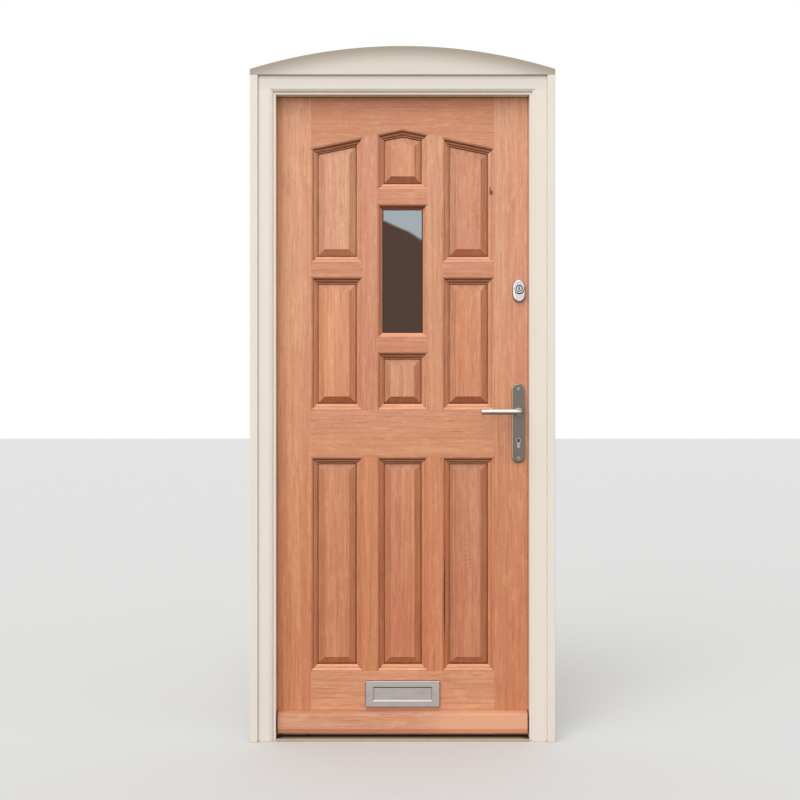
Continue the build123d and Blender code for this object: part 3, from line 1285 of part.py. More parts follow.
def strike_plate(latch_z, bolt_z):
    """The plate in the jamb with a hole for each bolt, and the pockets cut behind it."""
    x0, x1 = REBATE_X, REBATE_X + STRIKE_THICKNESS
    foot, head, half = bolt_z[0] - STRIKE_MARGIN, latch_z[1] + STRIKE_MARGIN, STRIKE_WIDTH / 2
    plate = block(x0, x1, LEAF_MID - half, LEAF_MID + half, foot, head)
    plate += block(x0, x1, LEAF_MID, FRAME_BACK, latch_z[0] - STRIKE_LIP, latch_z[1] + STRIKE_LIP)
    recess = plate
    play = BOLT_HOLE_PLAY
    thick = LATCH_WIDTH / 2
    pockets = []
    for low, high in (latch_z, bolt_z):
        y0, y1 = LEAF_MID - thick - play, LEAF_MID + thick + play
        pockets.append(block(x0, x0 + STRIKE_POCKET, y0, y1, low - play, high + play))
    screws = []
    for z in (foot + STRIKE_SCREW_EDGE, head - STRIKE_SCREW_EDGE):
        screws.append(screw((x0, LEAF_MID, z), (1, 0, 0), SCREW_LENGTH))
    return plate - pockets - screws, [recess, *pockets, *screws], screws


def plate_bolts():
    """Bolts from the inside into sleeves from the outside, which clamp the two long plates."""
    sleeves, bolts = [], []
    outer, inner = LEAF_FRONT - PLATE_THICKNESS, LEAF_BACK + PLATE_THICKNESS
    for side in (-1, 1):
        z = PLATE_CENTRE_Z + side * PLATE_SCREW_SPACING / 2
        at = (LOCK_X, z)
        sleeve = rod("Y", SLEEVE_RADIUS, outer, LEAF_MID + SLEEVE_PAST, at)
        sleeve += rod("Y", SLEEVE_HEAD_RADIUS, outer, outer + SLEEVE_HEAD_DEPTH, at)
        shank = rod("Y", BOLT_RADIUS, LEAF_MID - SLEEVE_PAST, inner, at)
        head = rod("Y", SLEEVE_HEAD_RADIUS, inner - SLEEVE_HEAD_DEPTH, inner, at)
        sleeves.append(sleeve - shank)
        bolts.append(shank + head)
    for side in (-1, 1):
        at = (side * LETTER_BOLT_X, LETTER_Z)
        end = LEAF_BACK + INNER_PLATE_THICKNESS
        shank = rod("Y", BOLT_RADIUS, LEAF_FRONT - POCKET_DEPTH, end, at)
        bolts.append(shank + rod("Y", BOLT_HEAD_RADIUS, end - BOLT_HEAD_DEPTH, end, at))
    return sleeves + bolts


def gather(pieces):
    """Several loose pieces as one group of separate solids."""
    return Compound([piece.solid() for piece in pieces])


# The leaf's timber, its panels and its window
members = leaf_members()
panels = {name: raised_panel(OPENINGS[name][0]) for name in OPENINGS if name != "window"}
glass_panes, glass_spacer, glazing_beads = window_glass(OPENINGS["window"][0])

# The frame
timbers = frame_timbers()
(frame_plates, leaf_plates, hinge_pins), (frame_screws, leaf_screws), (frame_cuts, leaf_cuts) = hinges()

# The locks and handles
lock_case, latch_bolt, deadbolt, lock_pocket, latch_z, bolt_z = mortice_lock()
cylinder_body, key_plug, thumbturn = profile_cylinder()
case, knob, night_bolt, case_screws, night_z = night_latch()
keep, keep_screws = night_latch_keep(night_z)
rim_body, rim_plug, rim_bolts = rim_cylinder()
strike, strike_cuts, strike_screws = strike_plate(latch_z, bolt_z)
pull = cylinder_pull()
outer_plate, inner_plate = backplate(outside=True), backplate(outside=False)
letter_outside, letter_inside = letter_plate_outside(), letter_plate_inside()
half_spindle = SPINDLE_SIDE / 2
spindle = block(
    LOCK_X - half_spindle,
    LOCK_X + half_spindle,
    LEAF_FRONT - SPINDLE_REACH,
    LEAF_BACK + SPINDLE_REACH,
    LEVER_Z - half_spindle,
    LEVER_Z + half_spindle,
)

# Screws of the lock, and the bolts through the leaf
faceplate_screws = [
    screw((HALF_LEAF, LEAF_MID, z), (-1, 0, 0), SCREW_LENGTH)
    for z in (FACEPLATE_BOTTOM + FACEPLATE_SCREW_EDGE, FACEPLATE_TOP - FACEPLATE_SCREW_EDGE)
]
cylinder_screw = screw((HALF_LEAF, LEAF_MID, CYLINDER_Z - EURO_DROP), (-1, 0, 0), LOCK_BACKSET)
bolts = plate_bolts()

# Everything is let into the timber that carries it
through = (LEAF_FRONT, LEAF_BACK)
members["lock_stile"] -= [
    lock_pocket,
    rod("Y", SPINDLE_BORE, *through, (LOCK_X, LEVER_Z)),
    upright(euro_section(LOCK_PLAY), *through, LOCK_X, CYLINDER_Z),
    rod("Y", RIM_BODY_RADIUS + RIM_HOLE_PLAY, *through, (NIGHT_X, NIGHT_Z)),
    *faceplate_screws,
    *case_screws,
    *bolts[:4],
]
members["hinge_stile"] -= leaf_cuts
members["bottom_rail"] -= [block(*SLOT_X, *through, *SLOT_Z), *bolts[4:]]
timbers["jamb_hinge_side"] -= frame_cuts
timbers["jamb_lock_side"] -= [*strike_cuts, *keep_screws]
lock_case -= [*faceplate_screws, cylinder_screw]
cylinder_body -= cylinder_screw
outer_plate -= bolts
inner_plate -= bolts
letter_outside -= bolts
letter_inside -= bolts

parts.update(timbers)
parts["arch_board"] = arch_board()
parts["cover_strips"] = gather([cover_strip(-1), cover_strip(1)])
parts["threshold"] = threshold()
parts["weather_seal"] = weather_seal()
parts["strike_plate"] = strike
parts["night_latch_keep"] = keep
parts["hinge_frame_plates"] = frame_plates
parts["hinge_leaf_plates"] = leaf_plates
parts["hinge_pins"] = hinge_pins
parts["frame_screws"] = gather([*frame_screws, *strike_screws, *keep_screws])
parts["leaf_screws"] = gather([*leaf_screws, *faceplate_screws, cylinder_screw, *case_screws])
parts["side_cross_rails"] = gather([members.pop("cross_rail_left"), members.pop("cross_rail_right")])
parts["centre_cross_rails"] = gather([members.pop("cross_rail_low"), members.pop("cross_rail_high")])
parts.update(members)
for name, panel in panels.items():
    parts[f"panel_{name}"] = panel
parts["glass_panes"] = glass_panes
parts["glass_spacer"] = glass_spacer
parts["glazing_beads"] = glazing_beads
parts["weatherboard"] = weatherboard()
parts["through_bolts"] = gather([*bolts, *rim_bolts])
parts["lock_case"] = lock_case
parts["latch_bolt"] = latch_bolt
parts["deadbolt"] = deadbolt
parts["cylinder_body"] = cylinder_body
parts["key_plug"] = key_plug
parts["thumbturn"] = thumbturn
parts["backplate_outside"] = outer_plate
parts["backplate_inside"] = inner_plate
parts["lever_outside"] = lever(outside=True)
parts["lever_inside"] = lever(outside=False)
parts["lever_spindle"] = spindle
parts["letter_plate_outside"] = letter_outside
parts["letter_plate_inside"] = letter_inside
parts["letter_flap"] = letter_flap()
parts["inner_flap"] = inner_flap()
parts["cylinder_pull"] = pull
parts["rim_cylinder"] = rim_body
parts["rim_plug"] = rim_plug
parts["night_latch_case"] = case
parts["night_latch_knob"] = knob
parts["night_latch_bolt"] = night_bolt

os.makedirs("parts", exist_ok=True)
for name, part in parts.items():
    export_step(part, f"parts/{name}.step")
print(len(parts), "nodes,", round(2 * FRAME_OUT), "by", round(HEAD_TOP + ARCH_SPRING + ARCH_RISE), "mm")
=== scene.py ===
# %% [markdown]
# A front door, dressed for its portrait.
# The door leaf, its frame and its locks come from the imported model, which stays where it is.
# This lesson gives every piece its finish, adds the small shapes that make it look real,
# and sets up the light and the camera.

# %% Load the fixed frame
import math

import bmesh
import bpy
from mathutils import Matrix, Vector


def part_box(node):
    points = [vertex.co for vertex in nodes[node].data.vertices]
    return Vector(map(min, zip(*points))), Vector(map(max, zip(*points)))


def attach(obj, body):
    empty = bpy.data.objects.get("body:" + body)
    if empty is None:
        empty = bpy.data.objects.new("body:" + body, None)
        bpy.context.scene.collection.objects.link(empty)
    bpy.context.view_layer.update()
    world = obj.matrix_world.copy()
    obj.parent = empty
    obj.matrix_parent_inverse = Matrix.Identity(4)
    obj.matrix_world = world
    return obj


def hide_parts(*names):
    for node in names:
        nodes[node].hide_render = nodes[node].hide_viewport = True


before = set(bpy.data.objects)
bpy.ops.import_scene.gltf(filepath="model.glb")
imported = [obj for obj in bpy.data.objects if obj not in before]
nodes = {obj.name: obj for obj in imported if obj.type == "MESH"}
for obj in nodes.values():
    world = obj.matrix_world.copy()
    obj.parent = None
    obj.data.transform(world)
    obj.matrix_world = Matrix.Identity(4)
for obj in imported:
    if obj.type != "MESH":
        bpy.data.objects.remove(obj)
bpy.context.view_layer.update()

# %% [markdown]
# The camera stands outside, square to the door, with its lens a little below the middle rail.
# Architectural photographers keep the camera level so that the jambs stay upright, and slide
# the picture up or down instead of tilting. Blender's lens shift does the same.

# %% Camera
CAMERA_DISTANCE = 4.2
CAMERA_HEIGHT = 1.15
CAMERA_LENS = 59.5
CAMERA_SHIFT = (-0.00325, -0.03025)

camera_data = bpy.data.cameras.new("portrait_camera")
camera_data.lens = CAMERA_LENS
camera_data.shift_x, camera_data.shift_y = CAMERA_SHIFT
camera = bpy.data.objects.new("portrait_camera", camera_data)
camera.location = (0, -CAMERA_DISTANCE, CAMERA_HEIGHT)
camera.rotation_euler = (math.radians(90), 0, 0)
bpy.context.scene.collection.objects.link(camera)
bpy.context.scene.camera = camera
print("camera", CAMERA_DISTANCE, "m in front, at", CAMERA_HEIGHT, "m")

# %% [markdown]
# The door stands in the soft light of a cloudy day, which comes from the whole sky at once.
# Under such a sky the grooves go dark because little sky can see into them, and the shade
# below the head of the frame is short and fades slowly. Two broad, weak lamps shape this
# light: one from high up makes every upper face brighter than the faces that look down, and
# one from the left does the same for the two sides of each moulding.

# %% Lamps
LAMPS = {
    "high_sky": dict(strength=1.08, softness=34, tilt=54, side=-12),
    "open_side": dict(strength=0.74, softness=40, tilt=14, side=-34),
}

for name, lamp in LAMPS.items():
    lamp_data = bpy.data.lights.new(name, "SUN")
    lamp_data.energy = lamp["strength"]
    lamp_data.angle = math.radians(lamp["softness"])
    lamp_object = bpy.data.objects.new(name, lamp_data)
    lamp_object.rotation_euler = (math.radians(90 - lamp["tilt"]), 0, math.radians(lamp["side"]))
    bpy.context.scene.collection.objects.link(lamp_object)
print(len(LAMPS), "lamps")

# %% [markdown]
# Materials and the sky are made of small boxes joined by wires. A few helpers keep that
# short: each adds one box with its values or wires, and returns what comes out of it.

# %% Helpers for shader nodes
def add_node(tree, kind, inputs=None, **settings):
    """A shader node with its settings; an input is a plain value or another node's output."""
    made = tree.nodes.new("ShaderNode" + kind)
    for name, value in settings.items():
        setattr(made, name, value)
    for socket, value in (inputs or {}).items():
        if isinstance(value, bpy.types.NodeSocket):
            tree.links.new(value, made.inputs[socket])
        else:
            made.inputs[socket].default_value = value
    return made


def calculate(tree, operation, *values):
    """One Math node on up to three values."""
    return add_node(tree, "Math", dict(enumerate(values)), operation=operation).outputs[0]


def blend_colour(tree, amount, first, second, mode="MIX"):
    """Two colours mixed by an amount."""
    mixed = add_node(tree, "Mix", {0: amount, 6: first, 7: second}, data_type="RGBA", blend_type=mode)
    return mixed.outputs[2]


def seen_directly(tree):
    """A value that is 1 for rays from the camera, from a mirror or through glass, else 0."""
    ray = add_node(tree, "LightPath").outputs
    seen = calculate(tree, "MAXIMUM", ray["Is Camera Ray"], ray["Is Glossy Ray"])
    return calculate(tree, "MAXIMUM", seen, ray["Is Transmission Ray"])


def base_material(name):
    """A new material, its tree and its Principled shader."""
    material = bpy.data.materials.new(name)
    material.use_nodes = True
    return material, material.node_tree, material.node_tree.nodes["Principled BSDF"]


print("shader helpers ready")

# %% [markdown]
# The world gives the even light of the whole sky. To the camera and in reflections it shows as
# white, so the background stays clean, but it lights the door more weakly than white would.

# %% Sky
AMBIENT = 0.82
WHITE_BACKGROUND = 1.0

world = bpy.data.worlds.new("pale_studio")
bpy.context.scene.world = world
world.use_nodes = True
sky = world.node_tree
sky.nodes.clear()
strength = add_node(sky, "Mix", {0: seen_directly(sky), 2: AMBIENT, 3: WHITE_BACKGROUND})
glow = add_node(sky, "Background", {"Color": (1, 1, 1, 1), "Strength": strength.outputs[0]})
add_node(sky, "OutputWorld", {"Surface": glow.outputs[0]})
print("sky at", AMBIENT)

# %% [markdown]
# The floor is one pale sheet. Seen by the camera it is nearly white, but it throws back much
# less light than that, because the ground before a real door is darker than a studio's floor.

# %% Floor
FLOOR_SIZE = 40.0
FLOOR_ROUGHNESS = 0.9
FLOOR_SEEN = (0.64, 0.64, 0.635, 1)
FLOOR_BOUNCE = (0.15, 0.11, 0.08, 1)

bpy.ops.object.select_all(action="DESELECT")
bpy.ops.mesh.primitive_plane_add(size=FLOOR_SIZE, location=(0, 0, 0))
floor = bpy.context.object
floor.name = "pale_floor"
floor_material, tree, shader = base_material("pale_floor")
shader.inputs["Roughness"].default_value = FLOOR_ROUGHNESS
tree.links.new(
    blend_colour(tree, seen_directly(tree), FLOOR_BOUNCE, FLOOR_SEEN), shader.inputs["Base Color"]
)
floor.data.materials.append(floor_material)
print("floor", FLOOR_SIZE, "m square")

# %% [markdown]
# An effect that several finishes share is built once, as a node group with named sockets, and
# used with other values in each. Nearly all of them start from noise, drawn out or squeezed.

# %% Helpers for node groups
def new_group(name, inputs, outputs):
    """A shader node group with named sockets, and its input and output sockets."""
    group = bpy.data.node_groups.new(name, "ShaderNodeTree")
    kinds = {"vector": "NodeSocketVector", "colour": "NodeSocketColor", "value": "NodeSocketFloat"}
    for socket, (kind, value) in inputs.items():
        made = group.interface.new_socket(socket, in_out="INPUT", socket_type=kinds[kind])
        if value is not None:
            made.default_value = value
    for socket, kind in outputs.items():
        group.interface.new_socket(socket, in_out="OUTPUT", socket_type=kinds[kind])
    entry = group.nodes.new("NodeGroupInput")
    leave = group.nodes.new("NodeGroupOutput")
    return group, entry.outputs, leave.inputs


def use_group(tree, group, inputs):
    """A node group placed in a material, with its sockets set or linked."""
    return add_node(tree, "Group", inputs, node_tree=group).outputs


def split(tree, vector):
    """A vector's parts along X, Y and Z."""
    return add_node(tree, "SeparateXYZ", {0: vector}).outputs


def noise(tree, vector, size, detail, roughness=0.5):
    """Soft noise; size is how often it changes on each axis, per metre."""
    stretched = add_node(tree, "VectorMath", {0: vector, 1: size}, operation="MULTIPLY")
    made = add_node(tree, "TexNoise", {
        "Vector": stretched.outputs[0], "Scale": 1.0, "Detail": detail, "Roughness": roughness,
    })
    return made.outputs["Fac"]


def spread(tree, value, low, high, out_low=0.0, out_high=1.0):
    """A value moved smoothly from one range to another."""
    made = add_node(
        tree, "MapRange",
        {"Value": value, "From Min": low, "From Max": high, "To Min": out_low, "To Max": out_high},
        interpolation_type="SMOOTHSTEP",
    )
    return made.outputs["Result"]


print("group helpers ready")

# %% [markdown]
# Every plank of the leaf is sawn from a warm, pinkish hardwood. Two things show in such wood.
# The growth rings make either straight bands or, where a board is cut near the outside of the
# log, tall nested arches. Over them lie long streaks and tiny open pores, always along the
# grain. One group builds both figures from the same few numbers, so that each board can have
# its own. A board's number moves it to another place in the same endless wood.

# %% Node group for sawn timber
STOCK = {
    "Light": (0.84, 0.45, 0.265, 1),
    "Body": (0.665, 0.285, 0.15, 1),
    "Rose": (0.70, 0.305, 0.195, 1),
    "Dark": (0.36, 0.11, 0.045, 1),
}
BOARD_SHIFT = (1.37, 0.61, 3.19)

timber, given, result = new_group(
    "sawn_timber",
    {
        "Vector": ("vector", None),
        "Board": ("value", 0.0),
        **{name: ("colour", colour) for name, colour in STOCK.items()},
        "Bands": ("value", 0.75),
        "Arch": ("value", 0.0),
        "Rings": ("value", 60.0),
        "Ring strength": ("value", 0.3),
    },
    {"Color": "colour", "Roughness": "value", "Height": "value"},
)
shift = add_node(timber, "CombineXYZ", {
    axis: calculate(timber, "MULTIPLY", given["Board"], distance)
    for axis, distance in enumerate(BOARD_SHIFT)
})
moved = add_node(timber, "VectorMath", {0: given["Vector"], 1: shift.outputs[0]}, operation="ADD")
in_log = moved.outputs[0]
print("each board number moves a board", math.hypot(*BOARD_SHIFT), "m through the wood")

# %% [markdown]
# Rings drawn by a formula alone look like fish scales. In a real board the heart wanders from
# side to side, the lines waver and ripple, and the figure is strong in some places and lost in
# others. A slow noise for each of the four does that.

# %% Growth rings
RING_WAVER = dict(size=(7, 7, 1.1), detail=3.0)
RING_WANDER = dict(size=(2.5, 2.5, 2.4), detail=1.0)
RING_RIPPLE = dict(size=(30, 30, 10), detail=2.0)
RING_PATCHES = dict(size=(17, 17, 5.5), detail=1.0)
NOISE_MIDDLE = 0.5
WAVER_REACH = 0.16
WANDER_REACH = 0.16
RIPPLE_REACH = 0.03
RING_SLANT = 0.6
RING_WIDTH = (-0.6, 1.0)
PATCH_EDGE = (0.42, 0.62)

x, y, z = split(timber, given["Vector"])
arched = calculate(timber, "MINIMUM", given["Arch"], 1.0)
waver = calculate(timber, "SUBTRACT", noise(timber, in_log, **RING_WAVER), NOISE_MIDDLE)
wander = calculate(timber, "SUBTRACT", noise(timber, in_log, **RING_WANDER), NOISE_MIDDLE)
from_heart = calculate(timber, "MULTIPLY_ADD", wander, WANDER_REACH, x)
arch = calculate(timber, "MULTIPLY", calculate(timber, "POWER", from_heart, 2.0), given["Arch"])
straight = calculate(
    timber, "MULTIPLY",
    calculate(timber, "MULTIPLY_ADD", y, RING_SLANT, x), calculate(timber, "SUBTRACT", 1.0, arched),
)
ring_line = calculate(timber, "MULTIPLY_ADD", z, arched, calculate(timber, "ADD", arch, straight))
ring_line = calculate(timber, "MULTIPLY_ADD", waver, WAVER_REACH, ring_line)
ring_line = calculate(timber, "MULTIPLY_ADD", noise(timber, in_log, **RING_RIPPLE), RIPPLE_REACH, ring_line)
ring_wave = calculate(timber, "SINE", calculate(timber, "MULTIPLY", ring_line, given["Rings"]))
patches = spread(timber, noise(timber, in_log, **RING_PATCHES), *PATCH_EDGE)
rings = calculate(timber, "MULTIPLY", spread(timber, ring_wave, *RING_WIDTH), patches)
print("rings from", len(timber.nodes), "nodes")

# %% [markdown]
# The colours are laid over each other as thin stains. Each stain is one of the stock colours,
# the noise that it follows, the range in which it comes in, and how strong it may get. The
# rings go in between, so that streaks, flecks and pores run over them.

# %% Streaks and pores
GRAIN = {
    "bands": dict(size=(62, 62, 1.3), detail=4.0, roughness=0.6),
    "drift": dict(size=(13, 13, 1.6), detail=2.0, roughness=0.6),
    "mottle": dict(size=(75, 75, 17), detail=3.0, roughness=0.6),
    "line": dict(size=(290, 290, 5), detail=4.0, roughness=0.65),
    "fleck": dict(size=(330, 330, 11), detail=2.0, roughness=0.6),
    "fibre": dict(size=(820, 820, 12), detail=3.0, roughness=0.7),
    "pore": dict(size=(1500, 1500, 95), detail=1.0, roughness=0.6),
}
BAND_EDGE = (0.36, 0.62)
BAND_TOTAL = 0.9
UNDER_RINGS = (
    ("Rose", "drift", 0.42, 0.66, 0.6),
    ("Rose", "mottle", 0.5, 0.66, 0.55),
    ("Light", "mottle", 0.48, 0.32, 0.5),
)
OVER_RINGS = (
    ("Dark", "line", 0.48, 0.74, 0.33),
    ("Light", "line", 0.5, 0.3, 0.3),
    ("Dark", "fleck", 0.60, 0.71, 0.5),
    ("Dark", "fibre", 0.42, 0.7, 0.18),
    ("Dark", "pore", 0.62, 0.7, 0.3),
)
grain = {name: noise(timber, in_log, **figure) for name, figure in GRAIN.items()}


def stain(colour, stains):
    """The colour with each stain laid over it in turn."""
    for tint, figure, low, high, strongest in stains:
        share = spread(timber, grain[figure], low, high, 0.0, strongest)
        colour = blend_colour(timber, share, colour, given[tint])
    return colour


band_share = calculate(timber, "MULTIPLY", spread(timber, grain["bands"], *BAND_EDGE), given["Bands"])
band_share = calculate(timber, "ADD", band_share, calculate(timber, "SUBTRACT", BAND_TOTAL, given["Bands"]))
colour = stain(blend_colour(timber, band_share, given["Light"], given["Body"]), UNDER_RINGS)
ring_share = calculate(timber, "MULTIPLY", rings, given["Ring strength"])
colour = stain(blend_colour(timber, ring_share, colour, given["Dark"]), OVER_RINGS)
timber.links.new(colour, result["Color"])
print("timber coloured by", len(UNDER_RINGS) + len(OVER_RINGS), "stains")

# %% [markdown]
# Varnish sinks into the pores and stands a little over the hard fibres. The same two noises
# that colour the wood therefore also drive its gloss and its relief.

# %% The timber's gloss and relief
PORE_EDGE = (0.62, 0.7)
FIBRE_EDGE = (0.3, 0.7)
FIBRE_HEIGHT = 0.35
VARNISH_GLOSS = (0.2, 0.8, 0.4, 0.56)

timber.links.new(spread(timber, grain["fibre"], *VARNISH_GLOSS), result["Roughness"])
fibres = calculate(timber, "MULTIPLY", spread(timber, grain["fibre"], *FIBRE_EDGE), FIBRE_HEIGHT)
relief = calculate(timber, "SUBTRACT", fibres, spread(timber, grain["pore"], *PORE_EDGE))
timber.links.new(relief, result["Height"])
print("timber group with", len(timber.nodes), "nodes")

# %% [markdown]
# A knot or a gum streak is a small dark ellipse in the board, with a soft edge. One group
# makes it from its centre and its half-widths. Without the ragged edge it also makes a patch
# that the sun has bleached, in a pale colour, and the painted shade in the mouth of a keyway,
# in a dark one.

# %% Node group for one mark
MARK_SIZE = (0.01, 0.05, 0.01)
MARK_RAGS = dict(size=(800, 800, 150), detail=2.0)
MARK_RIM = (1.05, 0.4)

mark_group, given, result = new_group(
    "dark_mark",
    {
        "Vector": ("vector", None),
        "Centre": ("vector", None),
        "Half sizes": ("vector", MARK_SIZE),
        "Ragged": ("value", 1.0),
    },
    {"Mask": "value"},
)
away = add_node(mark_group, "VectorMath", {0: given["Vector"], 1: given["Centre"]}, operation="SUBTRACT")
share = add_node(mark_group, "VectorMath", {0: away.outputs[0], 1: given["Half sizes"]}, operation="DIVIDE")
reach = add_node(mark_group, "VectorMath", {0: share.outputs[0]}, operation="LENGTH")
uneven = calculate(mark_group, "SUBTRACT", noise(mark_group, given["Vector"], **MARK_RAGS), NOISE_MIDDLE)
rim = calculate(mark_group, "MULTIPLY_ADD", uneven, given["Ragged"], reach.outputs["Value"])
mark_group.links.new(spread(mark_group, rim, *MARK_RIM), result["Mask"])
print("mark group ready")

# %% [markdown]
# Timber, paint and metal share the same two kinds of painted light. Painted shade darkens the
# corners. The faces that look down get painted shade, which on metal stands for a darker
# reflection of the ground. The ledges that look up get a painted highlight on mouldings and
# painted shade on bevels, and the two sides of a moulding get painted shades of their own. An
# ambient occlusion node finds the corners and the surface normal finds the ledges and sides.
# One group holds both, and each finish brings its own tints.

# %% Node group for painted shade in corners and painted light on ledges
NO_TINT = (1, 1, 1, 1)
PLAIN_GREY = (0.8, 0.8, 0.8, 1)
OCCLUSION_SAMPLES = 8
LEDGE_TILT = (0.12, 0.4)
RIGHT_TILT = (0.08, 0.3)
LEFT_TILT = (-0.08, -0.3)

painted_light_group, given, result = new_group(
    "painted_light_by_corner_and_facing",
    {
        "Color": ("colour", PLAIN_GREY),
        "Corner shade": ("colour", (0.5, 0.4, 0.3, 1)),
        "Reach": ("value", 0.01),
        "Open": ("value", 0.86),
        "Closed": ("value", 0.42),
        "Below": ("colour", NO_TINT),
        "Below starts": ("value", -0.12),
        "Below full": ("value", -0.5),
        "Painted light above": ("colour", NO_TINT),
        "Right": ("colour", NO_TINT),
        "Left": ("colour", NO_TINT),
    },
    {"Color": "colour"},
)
# Painted shade: the colour is darkened where the occlusion finds a corner.
occlusion = add_node(
    painted_light_group, "AmbientOcclusion", {"Distance": given["Reach"]}, samples=OCCLUSION_SAMPLES
)
facing = split(painted_light_group, add_node(painted_light_group, "NewGeometry").outputs["Normal"])
# Painted light: faces looking down and to either side get painted shade, and faces looking up get each
# finish's own tint, a painted highlight on mouldings and painted shade on bevels.
painted_light_shares = {
    "Corner shade": spread(painted_light_group, occlusion.outputs["AO"], given["Open"], given["Closed"]),
    "Below": spread(painted_light_group, facing["Z"], given["Below starts"], given["Below full"]),
    "Painted light above": spread(painted_light_group, facing["Z"], *LEDGE_TILT),
    "Right": spread(painted_light_group, facing["X"], *RIGHT_TILT),
    "Left": spread(painted_light_group, facing["X"], *LEFT_TILT),
}
shaded = given["Color"]
for tint, share in painted_light_shares.items():
    shaded = blend_colour(painted_light_group, share, shaded, given[tint], "MULTIPLY")
painted_light_group.links.new(shaded, result["Color"])
print("painted light group with", len(painted_light_group.nodes), "nodes")

# %% [markdown]
# The timber is darker and warmer towards the foot of the door and paler towards its head. The
# tone changes slowly with height.

# %% Node group for the tone that changes with height
FOOT_TONE = (0.89, 0.745, 0.62, 1)
HEAD_TONE = (1.06, 1.12, 1.14, 1)
FOOT_HEIGHT = 0.1
HEAD_HEIGHT = 2.0

height_group, given, result = new_group(
    "tone_by_height", {"Color": ("colour", PLAIN_GREY), "Vector": ("vector", None)}, {"Color": "colour"}
)
height = split(height_group, given["Vector"])["Z"]
weathered = blend_colour(
    height_group, spread(height_group, height, FOOT_HEIGHT, HEAD_HEIGHT), FOOT_TONE, HEAD_TONE
)
toned = blend_colour(height_group, 1.0, given["Color"], weathered, "MULTIPLY")
height_group.links.new(toned, result["Color"])
print("tone from", FOOT_HEIGHT, "m to", HEAD_HEIGHT, "m")

# %% [markdown]
# A finish is laid on a piece through the piece's own coordinates, turned so that the pattern
# runs along it. Rails and the weatherboard lie crosswise, and stiles and panels stand upright.

# %% Laying a finish on a piece
UPRIGHT = (0.0, 0.0, 0.0)
LEVEL = (0.0, math.radians(90), 0.0)


def grain_vector(tree, turn, centre=(0, 0, 0)):
    """Object coordinates as they are, and turned so that the grain runs along Z from a centre."""
    plain = add_node(tree, "TexCoord").outputs["Object"]
    mapping = add_node(
        tree, "Mapping", {"Vector": plain, "Location": centre, "Rotation": turn}, vector_type="TEXTURE"
    )
    return plain, mapping.outputs[0]


def add_relief(tree, shader, height, depth, strength):
    """A bump on the shader, from a height that changes over the surface."""
    bump = add_node(tree, "Bump", {"Height": height, "Distance": depth, "Strength": strength})
    tree.links.new(bump.outputs[0], shader.inputs["Normal"])


def dress(node, material):
    """Gives a CAD node its material in every slot."""
    slots = nodes[node].data.materials
    slots.clear()
    slots.append(material)


def middle_of(node):
    """The middle of a CAD node's box."""
    low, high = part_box(node)
    return (low + high) / 2


print("ready to dress", len(nodes), "nodes")

# %% [markdown]
# Each board gets a material of its own: the timber group with its own number, so that no two
# boards repeat, then its marks, the tone of its height, and painted light. The varnish is thin and
# satin, so the pores still show a little in the gloss. Painted shade darkens the grooves and the
# undersides of the mouldings, a painted highlight brightens the ledges that look up, and the two
# sides of a moulding get painted shades that differ a little, as they do where light comes more
# from one side.

# %% Varnished timber
VARNISH_SPECULAR = 0.42
GRAIN_DEPTH = 0.0006
GRAIN_STRENGTH = 0.5
KNOT_BROWN = (0.24, 0.075, 0.03, 1)
SUN_BLEACH = (0.98, 0.60, 0.42, 1)
# Painted shade under the mouldings and on each side of them, a painted highlight on their upward ledges,
# and painted shade in the corners.
MOULDING_SHADE_BELOW = (0.36, 0.245, 0.17, 1)
MOULDING_SIDE_SHADES = ((0.76, 0.64, 0.54, 1), (0.95, 0.89, 0.83, 1))
LEDGE_HIGHLIGHT = (1.12, 1.16, 1.16, 1)
TIMBER_SHADING = {
    "Corner shade": (0.12, 0.045, 0.02, 1), "Reach": 0.006, "Open": 0.80, "Closed": 0.42,
    "Below starts": -0.06, "Below full": -0.38,
}


def hardwood(name, board, turn=UPRIGHT, tone=(1.0, 1.0, 1.0), arch=0.0, rings=420.0, strength=0.3,
             bands=0.75, middle=(0, 0, 0), marks=(), pale=(), above=LEDGE_HIGHLIGHT, below=MOULDING_SHADE_BELOW,
             sides=MOULDING_SIDE_SHADES):
    """Varnished timber for one board. Tone multiplies its colours; marks are centre and half sizes."""
    material, tree, shader = base_material(name)
    plain, vector = grain_vector(tree, turn, middle)
    toned_stock = {
        stock: [min(1.0, part * factor) for part, factor in zip(colour, (*tone, 1.0))]
        for stock, colour in STOCK.items()
    }
    wood = use_group(tree, timber, {
        "Vector": vector, "Board": board, "Arch": arch, "Rings": rings, "Ring strength": strength,
        "Bands": bands, **toned_stock,
    })
    colour = wood["Color"]
    for tint, ragged, places in ((SUN_BLEACH, 0.0, pale), (KNOT_BROWN, 1.0, marks)):
        for centre, half_sizes in places:
            mark = use_group(tree, mark_group, {
                "Vector": plain, "Centre": centre, "Half sizes": half_sizes, "Ragged": ragged,
            })
            colour = blend_colour(tree, mark["Mask"], colour, tint)
    colour = use_group(tree, height_group, {"Color": colour, "Vector": plain})["Color"]
    shaded = use_group(tree, painted_light_group, {
        **TIMBER_SHADING, "Color": colour, "Below": below, "Painted light above": above, "Right": sides[0], "Left": sides[1],
    })
    tree.links.new(shaded["Color"], shader.inputs["Base Color"])
    tree.links.new(wood["Roughness"], shader.inputs["Roughness"])
    shader.inputs["Specular IOR Level"].default_value = VARNISH_SPECULAR
    add_relief(tree, shader, wood["Height"], GRAIN_DEPTH, GRAIN_STRENGTH)
    return material


print("varnish ready")
